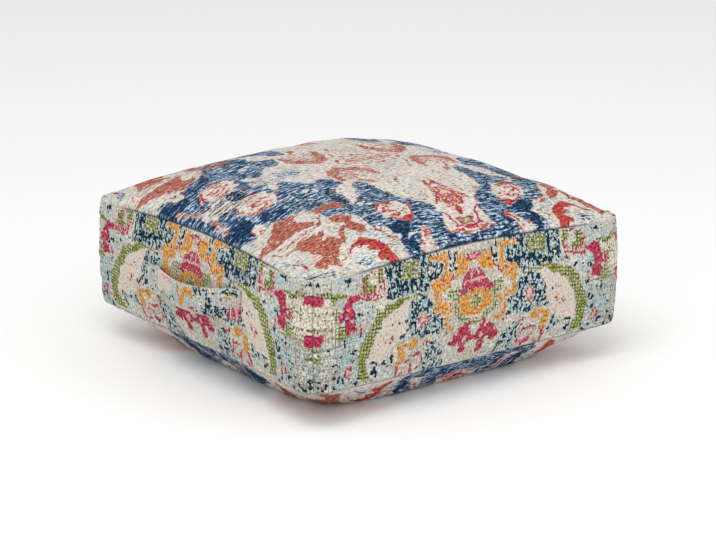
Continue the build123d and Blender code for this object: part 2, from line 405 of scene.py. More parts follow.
def cover_panel(name, points, along, uv, edge, folds, turn_row, turn_column, marks, flip=False, loose=1.0):
    """A cover panel: the settled surface, and a turned-in edge that follows the way in at the seam.
    The corners of the turned-in edge are left open, where the real allowances are clipped."""
    points = settled(points, edge, along, folds, loose)
    past = np.maximum(turn_row[:, None], turn_column[None, :])
    points = points - outward(points) * past[..., None]
    rows, columns = past.shape
    faces = grid_faces(rows, columns)
    both = (turn_row[:, None] > 0) & (turn_column[None, :] > 0)
    faces = faces[~both.ravel()[faces].any(axis=1)]
    if flip:
        faces = faces[:, ::-1]
    return make_mesh(name, points, faces, uv, marks)


FOLDS = simulated_folds()


# The print: shapes as depths

# The depth where no ink is, the half width of a rimmed shape's line, and the inks kept under others
NO_INK = -30.0
RIM = 0.6
UNDERTONE = {"navy": ("wash", "blue"), "blue": ("wash",)}

# How each ink prints, on the field of the top and bottom and on the border of the sides: its two
# shades, and by how many mm each grain wears it: upright, level, specks, net. Later inks lie on top.
FIELD_INKS = {
    "wash": ("8FACBC", "DDE6E6", 0.4, -1.7, -1.2),
    "blue": ("2C5079", "8CA6C2", -1.2, 1.7, -1.6),
    "navy": ("04112A", "1F4468", 0.4, 2.5, 1.3),
    "coral": ("8E3C32", "BE745C", 0.3, 0.8, 0.9),
    "olive": ("6C7A56", "A7B48E", -0.5, 0.9, -1.3),
    "crimson": ("961A37", "C2445A", 0.9, 0.4, 1.0),
    "line": ("962430", "C65A4A", 0.4, 0.7, 1.1),
    "pink": ("D9978D", "E8C3B6", 0.5, 0.7, 1.1),
}
BORDER_INKS = {
    "wash": ("8FB0B6", "CBD8D6", -1.2, -0.7, -1.2),
    "navy": ("02060C", "16384F", 2.4, 0.6, 1.7),
    "moon": ("D2C3B5", "DFD2C6", 0.0, 0.0, 0.3),
    "olive": ("4C5410", "8C963A", 0.6, 0.6, 1.1, 1.8),
    "orange": ("BE6A1E", "E4A84C", 1.4, 0.8, 1.5),
    "crimson": ("861A3C", "C84C62", 1.2, 1.0, 1.7),
    "pink": ("D58892", "E4B4B1", 0.8, 0.5, 1.1),
}


def oval(x, y, cx, cy, rx, ry, lobes=0, cut=0.0):
    """Depth inside an oval, whose radius can swell and shrink in lobes around it."""
    dx, dy = (x - cx) / rx, (y - cy) / ry
    rim = 1 + cut * np.cos(lobes * np.arctan2(dy, dx)) if lobes else 1
    return (rim - np.hypot(dx, dy)) * min(rx, ry)


def stroke(x, y, *points):
    """Depth inside a brush stroke through points of x, y and half width: the half width there less
    the distance to the nearest of its straight runs."""
    depth = np.full_like(x, NO_INK)
    for (x0, y0, w0), (x1, y1, w1) in zip(points, points[1:]):
        dx, dy = x1 - x0, y1 - y0
        t = np.clip(((x - x0) * dx + (y - y0) * dy) / (dx * dx + dy * dy + 1e-9), 0, 1)
        depth = np.maximum(depth, w0 + (w1 - w0) * t - np.hypot(x - x0 - t * dx, y - y0 - t * dy))
    return depth


def patch(x, y, *corners):
    """Depth inside a closed outline of straight edges: the distance to the nearest edge, positive
    where a level line from the point crosses the outline an odd number of times."""
    distance = np.full_like(x, 1e3)
    inside = np.zeros(x.shape, bool)
    for (x0, y0), (x1, y1) in zip(corners, corners[1:] + corners[:1]):
        dx, dy = x1 - x0, y1 - y0
        t = np.clip(((x - x0) * dx + (y - y0) * dy) / (dx * dx + dy * dy + 1e-9), 0, 1)
        distance = np.minimum(distance, np.hypot(x - x0 - t * dx, y - y0 - t * dy))
        if dy:
            inside ^= ((y0 > y) != (y1 > y)) & (x < dx * (y - y0) / dy + x0)
    return np.where(inside, distance, -distance)


def dots(x, y, radius, *centres):
    """Depth inside the nearest of many round dots."""
    depth = np.full_like(x, NO_INK)
    for cx, cy in centres:
        depth = np.maximum(depth, radius - np.hypot(x - cx, y - cy))
    return depth


def painted(x, y, shapes, inks):
    """Lay the shapes one over the other: each ends every other ink at its own edge, and its ink is
    as deep as the shape, up to the body that says how solidly it prints. The pale wash stays under
    the blues, and a body below 0 prints thinly over what is there. A rimmed shape is bare cloth
    with a thin red line at its edge, and a cream one is bare cloth."""
    marks = {ink: np.full_like(x, NO_INK) for ink in inks}
    for ink, body, shape, *data in shapes:
        depth = shape(x, y, *data)
        if body > 0:
            for name in marks:
                if name != ink and name not in UNDERTONE.get(ink, ()):
                    np.minimum(marks[name], -depth, out=marks[name])
        if ink in marks:
            np.maximum(marks[ink], np.minimum(depth, body), out=marks[ink])
        elif ink == "rimmed":
            np.maximum(marks["line"], RIM - np.abs(depth), out=marks["line"])
    return marks


def inked(shape, *data, **bodies):
    """One shape in several inks, one over the other, each with its own body."""
    return [(ink, body, shape, *data) for ink, body in bodies.items()]


# The side's print, from its middle outward: x from the middle of the side, y up from the bottom seam
SIDE_PRINT = (
    # Speckled blue block under the top seam, with its lattice square and dark bars
    ("wash", -0.4, patch, (58, 118), (168, 119), (170, 173), (60, 173)),
    ("navy", -0.1, patch, (62, 124), (100, 122), (166, 124), (168, 173), (62, 173)),
    ("navy", 1.1, stroke, (144, 126, 4), (146, 173, 5)),
    ("navy", 0.9, stroke, (66, 138, 3), (100, 138, 5), (138, 134, 6)),
    ("navy", 0.6, stroke, (94, 150, 3), (96, 173, 4)),
    ("navy", 0.4, stroke, (162, 128, 3), (164, 173, 3)),
    *inked(patch, (104, 142), (139, 143), (139, 165), (104, 165), olive=0.2, navy=-0.9),
    # Small box beside it
    ("crimson", 0.4, stroke, (211, 132, 4), (212, 163, 2.4)),
    ("crimson", 0.3, stroke, (186, 131, 3), (214, 131, 3)),
    ("olive", 1.9, patch, (199, 138), (209, 138), (209, 163), (199, 163)),
    ("olive", 1.6, patch, (188, 136), (201, 136), (201, 147), (188, 147)),
    ("crimson", 0.2, patch, (188, 134), (206, 134), (206, 139), (188, 139)),
    ("crimson", 0.5, stroke, (186, 164, 1.6), (195, 167, 1.6)),
    ("olive", 1.3, patch, (174, 148), (183, 152), (182, 168), (174, 168)),
    ("crimson", -0.1, stroke, (178, 134, 5), (178, 147, 5)),
    ("navy", 1.8, dots, 2.4, (171, 127), (178, 129), (195, 118), (192, 116)),
    # Pale moon inside the crescent
    ("moon", 6, patch, (123, 116), (150, 108), (172, 98), (187, 78), (198, 55), (203, 28), (180, 33),
     (164, 42), (150, 60), (136, 76), (129, 92), (122, 104)),
    # Crescent
    ("olive", 0.9, stroke, (92, 118, 1), (130, 119, 2), (140, 118, 4.5), (156, 113, 7), (170, 108, 7),
     (182, 104, 8.5), (192, 88, 9.5), (199, 74, 9), (209, 54, 9.5), (211, 36, 9), (209, 20, 9),
     (200, 9, 6), (193, 5, 2)),
    ("olive", 2.6, stroke, (136, 118, 2), (156, 113, 5), (146, 115, 5)),
    ("olive", 2.2, stroke, (203, 74, 1), (211, 50, 3), (211, 30, 4), (207, 12, 3)),
    ("olive", 1.6, stroke, (176, 106, 4), (188, 96, 4)),
    # Flower with a pink rim in a ring of blue specks
    ("wash", -0.2, oval, 106, 86, 30, 30),
    ("navy", 0.1, oval, 106, 88, 28, 28, 7, 0.12),
    *inked(patch, (62, 62), (100, 58), (96, 92), (78, 92), (66, 84), wash=-0.2, navy=-0.2),
    ("cream", 1, oval, 104, 84, 10, 12),
    ("crimson", 2.6, oval, 104, 84, 7.5, 9.5),
    ("pink", 2.6, oval, 104, 84, 4.4, 6.4),
    ("cream", 1, oval, 104, 84, 2.2, 4),
    ("wash", -0.1, stroke, (146, 64, 5), (147, 84, 5)),
    ("navy", 2.4, dots, 2.5, (159, 86), (153, 89), (146, 84), (141, 66), (136, 65), (133, 74), (128, 75)),
    ("crimson", 1.32, stroke, (157, 70, 2.2), (161, 64, 2.2)),
    ("crimson", 1.2, dots, 2.2, (172, 63), (166, 58), (96, 50)),
    # Gold scroll with red curls under it
    ("orange", 0.9, stroke, (136, 25, 6), (138, 38, 6.5), (142, 50, 4), (134, 52, 3.4), (122, 53, 3.4)),
    ("orange", 2.6, oval, 117, 52, 7, 7.5),
    ("crimson", 2.4, stroke, (142, 26, 1.8), (142, 12, 3), (140, 3, 1.8)),
    ("crimson", 2.2, stroke, (103, 33, 1.6), (112, 31, 2.4), (124, 30, 1.6)),
    ("crimson", 2.4, stroke, (108, 4, 1.5), (113, 11, 3.2), (115, 20, 1.6), (126, 23, 1.4)),
    ("crimson", 2.0, stroke, (102, 35, 1.6), (97, 24, 1.4), (92, 16, 1.4), (102, 10, 1.6), (112, 7, 1.4)),
    ("crimson", 2.0, stroke, (86, 47, 1.8), (100, 49, 1.6)),
    ("crimson", 1.8, stroke, (126, 8, 1.6), (134, 3, 1.8)),
    ("pink", -1.2, patch, (98, 8), (136, 5), (140, 26), (104, 32)),
    # Dots right of it
    ("wash", -0.5, patch, (152, 8), (196, 8), (196, 36), (152, 36)),
    ("navy", 2.8, dots, 3.1, (190, 31), (184, 29), (170, 30), (157, 37), (154, 31), (152, 22), (184, 15),
     (189, 20), (163, 24)),
    ("navy", 2.4, stroke, (157, 40, 1.8), (156, 30, 2.6)),
    # Blue specks between the scroll and the wings
    *inked(patch, (46, -3), (90, -3), (92, 44), (54, 44), wash=-0.4, olive=-2.4),
    ("navy", -0.45, patch, (46, -3), (92, -3), (88, 32), (96, 40), (90, 48), (74, 46), (58, 34)),
    # Gold lattice round the middle
    ("orange", 0.94, stroke, (52, 160, 4.5), (78, 161, 5)),
    ("orange", 0.94, stroke, (56, 158, 5), (54, 140, 4.5)),
    ("orange", 0.88, stroke, (52, 134, 5), (78, 126, 7), (66, 122, 7), (54, 124, 6)),
    ("orange", 0.88, stroke, (60, 130, 5), (34, 134, 5), (16, 140, 5)),
    ("orange", 1.21, oval, 20, 148, 12.5, 10),
    ("orange", 0.83, stroke, (76, 120, 6), (74, 100, 6)),
    ("orange", 0.83, stroke, (76, 94, 5), (60, 92, 5)),
    ("orange", 0.88, stroke, (59, 100, 3.5), (58, 72, 3)),
    ("orange", 0.77, stroke, (56, 66, 3.5), (44, 60, 4)),
    ("orange", 0.66, stroke, (47, 80, 3.5), (48, 94, 3.5)),
    ("crimson", 0.6, dots, 2.6, (61, 130), (40, 134), (46, 128)),
    ("navy", 2, stroke, (36, 161, 2), (34, 150, 2), (40, 148, 1.6)),
    ("navy", 2, stroke, (46, 164, 2), (44, 156, 2)),
    ("navy", 2, dots, 2.6, (36, 141), (42, 140), (44, 148)),
    # Middle: red dome on a gold oval with a green heart, in a dotted green frame
    ("olive", 0.14, patch, (30, 101), (53, 102), (53, 115), (30, 115)),
    ("olive", 0.21, oval, 0, 88, 43, 28),
    ("cream", 1, oval, 0, 90, 36, 22),
    ("orange", 1.32, oval, 0, 91, 33, 18),
    ("cream", 1, oval, 0, 92, 14, 9),
    ("olive", 0.84, oval, 0, 92, 10.5, 8, 5, 0.2),
    ("crimson", 1.56, patch, (-1, 137), (11, 136), (20, 129), (26, 118), (34, 106), (24, 101), (15, 108),
     (-1, 109)),
    ("pink", 1.1, stroke, (0, 121, 1.2), (20, 119, 1.2)),
    ("pink", 1.1, stroke, (6, 133, 1), (7, 125, 1)),
    ("cream", 1, oval, 0, 143, 9, 6),
    ("crimson", 0.84, oval, 0, 154, 14, 7, 5, 0.15),
    ("pink", 1.5, oval, 0, 153, 5, 3.5),
    # Red wings below
    ("crimson", 1.8, patch, (9, 66), (18, 67), (21, 58), (31, 56), (41, 50), (38, 43), (51, 38), (46, 31),
     (34, 30), (28, 36), (23, 30), (23, 18), (14, 14), (9, 22), (12, 32), (4, 36), (-1, 34), (-1, 42),
     (6, 44), (10, 52)),
    ("pink", 1.6, oval, 15, 39, 3.5, 4.5),
    ("crimson", 0.96, dots, 3, (57, 56)),
    # Red chain beside the corner
    ("crimson", 2.8, stroke, (222, 136, 5.5), (236, 136, 6.5), (239, 124, 8.5), (237, 113, 6)),
    ("crimson", 2.8, oval, 252, 115, 8.5, 8.5, 5, 0.12),
    ("crimson", 2.8, oval, 238, 97, 12, 10, 5, 0.2),
    ("pink", 1.5, dots, 1.8, (252, 116), (240, 121)),
    ("crimson", 0.6, stroke, (219, 98, 2.2), (219, 86, 2)),
    ("navy", 2, dots, 3, (218, 83)),
    ("olive", 0.7, patch, (243, 82), (257, 81), (256, 102), (249, 98)),
    ("olive", 1.4, stroke, (238, 84, 2), (256, 84, 2.6)),
    ("wash", -0.3, patch, (196, 98), (232, 98), (230, 126), (196, 124)),
    ("wash", -0.2, patch, (206, 66), (250, 68), (246, 82), (206, 84)),
    ("wash", -0.6, patch, (216, 2), (262, 2), (256, 60), (222, 60)),
    ("wash", -0.5, patch, (222, 150), (262, 150), (262, 170), (222, 170)),
    # Corner block: dotted lines, green dashes, and red bars that meet over the corner seam
    ("olive", 1.8, stroke, (242, 144, 2.6), (256, 143, 4), (268, 144, 3)),
    ("olive", 0.6, stroke, (268, 148, 3), (286, 150, 3.4)),
    ("olive", 1.6, dots, 1.9, *[(262, h) for h in (137, 131, 125, 118, 112, 106)]),
    ("olive", 1.6, dots, 1.6, *[(254 + 6 * i, 121) for i in range(8)]),
    ("olive", 1.2, dots, 1.3, *[(252 + 7 * i, 112.5) for i in range(6)], (277, 130), (284, 137),
     (270, 134)),
    ("olive", 1.6, dots, 1.8, *[(256 + 5.5 * i, 82.5) for i in range(5)]),
    ("olive", 1.4, dots, 1.6, *[(255 + 6 * i, 90) for i in range(5)]),
    ("olive", 1.0, stroke, (254, 121, 0.9), (268, 121, 0.9)),
    ("olive", 1.2, stroke, (278, 108, 0.9), (278, 124, 0.9)),
    ("olive", 1.2, stroke, (258, 80, 1), (258, 104, 1)),
    ("olive", 1.2, stroke, (262, 98, 1.4), (282, 98, 1)),
    ("olive", 1.8, stroke, (288, 98, 2), (298, 98, 2.2)),
    ("crimson", 3, patch, (282, 134), (300, 135), (300, 150), (284, 149)),
    ("crimson", 3, patch, (282, 73), (300, 72), (300, 91), (283, 92)),
    ("olive", 1.12, stroke, (287, 68, 2), (298, 68, 2)),
    ("olive", 1.4, stroke, (288, 54, 3), (298, 53, 3)),
    ("navy", 2.6, dots, 3.3, (290, 165), (291, 20), (291, 10)),
    ("navy", 2.6, stroke, (232, 163, 2), (240, 164, 3)),
    ("navy", 2.4, stroke, (247, 78, 1.8), (246, 70, 2.2)),
    ("navy", 2.0, dots, 2.8, (233, 56), (230, 53), (224, 60), (231, 43), (267, 23), (255, 17), (221, 4),
     (225, 112), (220, 112), (228, 108)),
    ("navy", 2.4, stroke, (256, 41, 1.4), (266, 41, 2.2)),
    ("crimson", 2.2, oval, 238, 25, 7.5, 10, 3, 0.18),
    ("cream", 1, oval, 238, 26, 4, 6),
    ("pink", 0.4, oval, 238, 26, 3, 4.5),
    ("navy", 2.2, dots, 2.9, (231, 9), (283, 5), (262, 5), (276, 12), (248, 14), (216, 12)),
    ("navy", 1.4, dots, 1.5, (288, 60), (272, 66), (252, 52), (246, 30), (262, 32), (280, 36), (218, 44),
     (200, 88), (206, 112), (214, 150), (240, 158), (252, 166), (270, 158), (280, 164), (182, 92),
     (236, 70)),
)

# The top's print, one quarter of it: x and y in the plan, toward the near left corner
TOP_PRINT = (
    *inked(patch, (-320, -320), (60, -320), (60, 60), (-320, 60), wash=1.4, blue=0.4, navy=0.05),
    # Lighter parts of the blue field, with dark specks over them
    *[layer for edge in (
        ((-208, -60), (-165, -44), (-110, -58), (-122, -112), (-146, -138), (-205, -122)),
        ((-160, -186), (-108, -190), (-112, -236), (-150, -236)),
        ((-58, -186), (-34, -196), (-24, -240), (-30, -282), (-66, -280)),
        ((-292, -10), (-262, -40), (-262, -62), (-292, -60)),
    ) for layer in inked(patch, *edge, wash=1.2, blue=0.3, navy=0.0)],
    ("navy", 2.2, patch, (-122, -238), (-76, -240), (-84, -262), (-100, -300), (-112, -280)),
    ("navy", 1.4, stroke, (-133, -112, 6), (-134, -150, 8), (-136, -172, 7)),
    ("navy", 1.4, patch, (-298, -62), (-258, -66), (-256, -112), (-298, -112)),
    ("navy", 1.2, stroke, (-240, -94, 9), (-214, -102, 9)),
    ("cream", 1, stroke, (-212, -81, 1.8), (-190, -78, 2.6), (-172, -74, 1.8)),
    ("cream", 1, dots, 6, (-124, -162), (-116, -172), (-105, -178), (-154, -82), (-142, -88)),
    ("cream", 1, stroke, (-80, -264, 1.6), (-92, -266, 3), (-98, -272, 1.6)),
    # Pale medallion
    ("rimmed", 1, patch, (10, -290), (-2, -285), (-20, -284), (-28, -276), (-26, -264), (-20, -250),
     (-12, -241), (-18, -232), (-14, -218), (-22, -206), (-34, -196), (-44, -186), (-50, -172),
     (-52, -150), (-55, -130), (-58, -110), (-64, -98), (-74, -96), (-84, -106), (-88, -124), (-98, -134),
     (-101, -148), (-112, -154), (-116, -162), (-122, -154), (-120, -132), (-122, -114), (-108, -98),
     (-93, -92), (-96, -64), (-111, -55), (-128, -62), (-142, -50), (-150, -34), (-158, -22), (-170, -30),
     (-184, -46), (-190, -34), (-182, -14), (-196, -4), (-200, 30), (60, 30), (60, -290)),
    *inked(patch, (-200, -290), (60, -290), (60, 60), (-200, 60), olive=-1.6, wash=-1.4),
    ("coral", -1.6, patch, (-110, -100), (60, -250), (60, 60), (-110, 60)),
    ("blue", -1.4, patch, (4, -24), (60, -30), (60, -84), (6, -76)),
    ("line", 0.6, stroke, (-27, 44, 2), (-21, 22, 2.6), (-4, 2, 2.8), (14, -1, 2.6), (29, 2, 2.4)),
    ("line", 0.2, stroke, (-13, -32, 1.8), (-2, -60, 2.2), (10, -84, 1.8)),
    ("blue", -0.9, patch, (-200, 40), (-196, -14), (-150, -20), (-100, -20), (-92, 14), (-120, 40)),
    ("coral", -1.4, patch, (-200, 40), (-186, 0), (-150, 0), (-140, 40)),
    ("blue", 0.4, patch, (-146, 14), (-147, 2), (-134, -9), (-112, -8), (-98, 12)),
    ("navy", -0.5, stroke, (-206, -12, 5), (-192, -4, 6), (-178, -8, 3)),
    ("navy", -0.3, stroke, (-150, 4, 2.4), (-148, 24, 4)),
    ("coral", -0.7, stroke, (-118, -104, 2), (-104, -124, 2)),
    ("coral", -0.5, stroke, (-122, -124, 1.6), (-108, -142, 1.6)),
    # Pendant of the medallion
    ("coral", 0.5, stroke, (-84, -80, 6), (-82, -54, 9), (-68, -34, 10), (-50, -27, 10), (-32, -36, 9),
     (-20, -60, 8), (-18, -84, 5)),
    ("coral", -0.3, oval, -52, -62, 26, 24),
    ("coral", 0.4, stroke, (-56, -90, 4), (-46, -104, 6), (-42, -112, 3)),
    ("line", 0.4, stroke, (-70, -62, 1.6), (-58, -72, 1.6), (-46, -62, 1.6)),
    ("line", 0.3, stroke, (-64, -46, 1.6), (-38, -50, 1.6)),
    # Line work of the middle
    ("line", 1.2, stroke, (-30, 4, 2), (-24, -12, 2.2), (-6, -14, 2), (2, -30, 2.4), (14, -24, 2),
     (26, -34, 2.4)),
    ("line", 0.8, stroke, (-14, 4, 1.8), (-6, -6, 1.8), (8, -8, 2), (16, -16, 1.8), (26, -14, 2)),
    ("coral", 0.1, oval, 26, 6, 15, 12, 6, 0.2),
    ("coral", 0.1, stroke, (-30, 4, 2.2), (-44, -10, 2), (-54, -14, 2)),
    ("coral", -0.2, stroke, (26, -48, 2), (24, -70, 1.4)),
    ("coral", 0.1, stroke, (-6, -114, 2.4), (-14, -124, 3), (-22, -138, 2)),
    ("coral", -0.3, stroke, (-12, -132, 1.8), (2, -150, 1.6)),
    ("coral", -0.2, stroke, (4, -104, 1.6), (14, -112, 1.8), (26, -108, 1.6)),
    # Crown of the end palmette: two pale columns, and a dome of many stripes
    ("coral", 0.1, stroke, (24, -146, 4), (21, -164, 4.4), (11, -186, 3.4)),
    ("coral", 0.2, oval, 23, -204, 20, 24),
    ("pink", 1.4, oval, 27, -188, 8, 12),
    ("line", 1.6, stroke, (-4, -218, 1.8), (2, -206, 2.8), (12, -196, 2.4), (22, -186, 2), (28, -172, 1.8)),
    ("line", 1.4, stroke, (24, -146, 1.6), (22, -166, 2), (16, -186, 1.8), (4, -214, 1.4)),
    ("line", 1.3, stroke, (9, -228, 1.7), (14, -208, 2), (24, -186, 1.7)),
    ("line", 1.3, stroke, (15, -229, 1.6), (19, -204, 2)),
    ("line", 1.3, stroke, (21, -228, 1.5), (24, -200, 1.9)),
    ("line", 1.3, stroke, (27, -227, 1.5), (28, -196, 1.8)),
    ("line", -0.2, stroke, (-3, -172, 1.6), (-4, -196, 1.8)),
    ("line", -0.2, dots, 2.6, (-16, -202), (-30, -200), (-22, -196)),
    ("coral", 0.1, stroke, (-34, -188, 2), (-24, -202, 1.8), (-18, -214, 1.4)),
    ("crimson", 1.8, stroke, (-11, -236, 1.8), (-7, -250, 2.8), (-5, -264, 2.6), (-8, -271, 2),
     (0, -272, 2.2), (6, -277, 2.6), (18, -277, 2.6)),
    ("line", 1.0, stroke, (-24, -282, 1.4), (-12, -278, 2), (-2, -282, 1.6), (8, -285, 1.6),
     (18, -285, 1.6)),
    ("coral", 1.4, patch, (0, -259), (8, -255), (20, -255), (20, -273), (8, -273), (4, -268)),
    ("olive", 0.4, patch, (9, -259), (20, -259), (20, -271), (11, -271)),
    ("crimson", 1.8, oval, 18.5, -245, 5, 5),
    ("line", 0.6, stroke, (19, -239, 1.2), (19, -232, 1.4)),
    ("coral", -0.5, stroke, (-22, -258, 1.6), (-20, -270, 1.6)),
    # Barred field by the left seam
    ("rimmed", 1, patch, (-284, -6), (-276, -22), (-240, -32), (-216, -28), (-208, -10), (-212, 20),
     (-288, 20)),
    ("navy", 1.1, stroke, (-274, -18, 1.6), (-246, -25, 2.4), (-214, -27, 1.6)),
    ("navy", 1.1, stroke, (-272, -9, 1.6), (-240, -15, 2.6), (-212, -18, 1.8)),
    ("navy", 1.1, stroke, (-276, 1, 1.6), (-240, -4, 2.8), (-212, -8, 1.8)),
    ("coral", -0.3, stroke, (-268, -4, 1.6), (-244, -9, 2)),
    ("navy", 1.4, patch, (-238, -14), (-220, -18), (-212, -2), (-214, 20), (-240, 20)),
    ("coral", 0.1, stroke, (-290, -62, 3), (-286, -40, 4.5), (-281, -12, 3)),
    # Rosette by the left seam
    ("rimmed", 1, oval, -224, -50, 32, 29, 8, 0.07),
    ("coral", -1.2, oval, -224, -50, 28, 25, 8, 0.1),
    ("coral", 0.1, stroke, (-242, -30, 3), (-228, -27, 4.5), (-214, -30, 3)),
    ("coral", 0.1, stroke, (-234, -72, 3), (-220, -70, 4.5), (-206, -66, 3)),
    ("coral", -0.2, stroke, (-250, -44, 2), (-250, -56, 3)),
    ("line", 0.7, stroke, (-252, -44, 2.2), (-249, -62, 2.6), (-236, -74, 2.4), (-218, -77, 2)),
    ("line", 0.7, stroke, (-240, -46, 2), (-228, -60, 2.2), (-212, -62, 2)),
    ("line", 0.6, stroke, (-232, -36, 2), (-216, -44, 2.2), (-206, -54, 2)),
    ("line", 0.6, stroke, (-238, -58, 1.6), (-230, -48, 2), (-220, -52, 1.6)),
    # Corner leaf on its pale ground
    ("rimmed", 1, patch, (-320, -112), (-286, -120), (-274, -116), (-273, -100), (-262, -91), (-252, -98),
     (-250, -114), (-236, -117), (-214, -122), (-196, -130), (-188, -142), (-184, -158), (-186, -176),
     (-176, -180), (-158, -184), (-146, -196), (-141, -216), (-140, -238), (-126, -236), (-116, -246),
     (-110, -264), (-120, -284), (-116, -320), (-320, -320)),
    *inked(patch, (-300, -112), (-110, -112), (-110, -300), (-300, -300), wash=-1.2, olive=-1.2),
    ("coral", 0.8, patch, (-300, -166), (-276, -150), (-262, -140), (-256, -130), (-240, -118),
     (-222, -121), (-207, -134), (-222, -142), (-221, -158), (-206, -170), (-208, -182), (-226, -179),
     (-246, -176), (-280, -178), (-302, -172)),
    ("line", 0.6, oval, -262, -115, 4.5, 5),
    ("cream", 1, oval, -262, -115, 2, 2.4),
    ("line", 0.3, stroke, (-216, -136, 1.1), (-194, -140, 1.1), (-188, -158, 1.1), (-194, -174, 1.1)),
    ("line", 0.5, stroke, (-286, -184, 1.2), (-282, -200, 1.3), (-262, -203, 1.2), (-238, -197, 1.1),
     (-214, -188, 1.2)),
    ("line", 0.5, stroke, (-280, -185, 1.1), (-250, -192, 1.2), (-222, -186, 1.1)),
    ("line", 0.4, stroke, (-274, -194, 1), (-252, -186, 1), (-232, -192, 1)),
    ("coral", 0.8, patch, (-264, -206), (-246, -201), (-222, -199), (-208, -203), (-212, -218),
     (-203, -228), (-196, -222), (-184, -212), (-186, -190), (-184, -180), (-166, -183), (-154, -192),
     (-158, -208), (-151, -222), (-152, -240), (-164, -238), (-172, -224), (-180, -218), (-190, -236),
     (-204, -246), (-220, -256), (-224, -270), (-232, -284), (-242, -272), (-262, -270), (-266, -258),
     (-250, -248), (-252, -230), (-258, -218)),
    ("cream", 1.5, stroke, (-197, -199, 6), (-193, -186, 5), (-191, -174, 3)),
    ("cream", 1.5, stroke, (-197, -199, 6), (-184, -204, 4), (-175, -208, 3)),
    ("cream", 1.5, stroke, (-197, -199, 6), (-197, -216, 3.6), (-198, -231, 2.6)),
    ("cream", 1.5, stroke, (-197, -199, 6), (-208, -209, 3.6), (-218, -218, 2.4)),
    ("cream", 1.5, stroke, (-197, -199, 6), (-207, -196, 3.6), (-216, -194, 2.4)),
    ("line", 0.5, stroke, (-208, -188, 1.1), (-200, -182, 1.1), (-194, -168, 1)),
    ("wash", -1.0, patch, (-186, -226), (-176, -230), (-160, -244), (-180, -250), (-196, -246)),
    ("coral", 1.1, patch, (-186, -144), (-176, -136), (-158, -137), (-140, -140), (-138, -158),
     (-150, -163), (-172, -156), (-184, -156)),
    ("pink", 0.3, oval, -252, -246, 9, 6),
    ("line", 0.8, stroke, (-218, -272, 1.2), (-204, -262, 2.2)),
    ("crimson", 0.6, stroke, (-208, -266, 1.4), (-196, -257, 3.4), (-184, -254, 4.6)),
    ("line", 1.6, stroke, (-190, -255, 4.4), (-174, -253, 5.6), (-160, -261, 7), (-152, -274, 8.5),
     (-151, -300, 8.5)),
    ("line", 1.0, patch, (-174, -268), (-160, -262), (-154, -276), (-172, -274)),
    ("line", 1.0, patch, (-172, -286), (-158, -278), (-156, -292), (-170, -292)),
    ("navy", 0.8, stroke, (-204, -284, 1.6), (-194, -281, 2.2), (-184, -285, 2)),
    ("navy", 0.6, stroke, (-202, -291, 1.6), (-186, -292, 1.6)),
    *inked(patch, (-212, -272), (-172, -268), (-174, -300), (-214, -300), olive=-1.3, wash=-0.5),
    ("wash", -0.8, patch, (-300, -250), (-276, -262), (-262, -290), (-230, -296), (-230, -310),
     (-300, -310)),
    ("navy", -0.6, patch, (-294, -276), (-250, -284), (-240, -292), (-294, -292)),
    ("blue", -0.1, patch, (-294, -218), (-278, -224), (-272, -238), (-286, -240)),
    ("olive", -1.7, patch, (-296, -216), (-274, -222), (-270, -252), (-294, -252)),
    ("crimson", 0.3, stroke, (-274, -242, 1.6), (-276, -254, 1.8), (-274, -262, 1.2)),
    *inked(stroke, (-190, -240, 6), (-150, -243, 8), (-128, -262, 9),
     (-122, -290, 7), wash=-0.4, olive=-1.0),
    ("navy", -1.7, stroke, (-150, -243, 6), (-130, -260, 7), (-124, -284, 6)),
    ("line", 0.4, stroke, (-144, -240, 1.4), (-134, -246, 2.2), (-126, -244, 1.4)),
    ("line", 0.4, stroke, (-128, -262, 1.8), (-118, -266, 1.6)),
    ("line", 0.3, stroke, (-140, -272, 1.6), (-128, -276, 1.4)),
    # Rosette and bud by the front seam
    ("rimmed", 1, oval, -82, -210, 29, 26, 7, 0.08),
    ("coral", -1.0, oval, -86, -212, 24, 22, 7, 0.1),
    ("coral", 0.8, stroke, (-92, -190, 3), (-82, -185, 4), (-75, -192, 3)),
    ("line", 1.0, stroke, (-110, -204, 2.2), (-103, -192, 2.6), (-90, -185, 2.2)),
    ("line", 1.2, stroke, (-100, -224, 2.6), (-90, -234, 3.4), (-76, -240, 3.4), (-62, -228, 2.4)),
    ("line", 0.3, stroke, (-98, -206, 2.4), (-86, -214, 2.6), (-74, -222, 2)),
    ("line", 0.5, stroke, (-102, -212, 1.8), (-94, -200, 2), (-84, -198, 1.8), (-78, -206, 1.6)),
    ("line", 0.5, stroke, (-94, -222, 1.8), (-84, -226, 2), (-72, -216, 1.6)),
    ("line", 0.8, dots, 2.4, (-74, -211), (-64, -214), (-88, -203), (-92, -214), (-82, -222)),
    ("cream", 1, oval, -72, -204, 9, 7),
    ("line", 0.5, stroke, (-58, -196, 1.2), (-54, -210, 1.6), (-60, -226, 1.4)),
    ("rimmed", 1, patch, (-62, -254), (-54, -262), (-58, -276), (-66, -286), (-60, -300), (-96, -300),
     (-88, -286), (-78, -272), (-70, -262)),
    ("coral", 0.9, patch, (-66, -256), (-56, -256), (-55, -268), (-68, -274)),
    ("line", 1.2, stroke, (-66, -258, 2), (-63, -268, 2.6), (-72, -276, 2.2)),
    ("line", 0.5, dots, 2.2, (-70, -280), (-64, -276), (-74, -290), (-84, -288), (-76, -282), (-66, -292)),
)

# The top's middle, which shifts toward the front seam, and how cool its cloth is
TOP_CENTRE = 29.0
TOP_CENTRE_AT_SEAM = 16.0
TOP_CENTRE_BACK = 4.0
TOP_LEAN_FROM = 195.0
TOP_LEAN_REACH = 75.0
TOP_COOL = 0.12
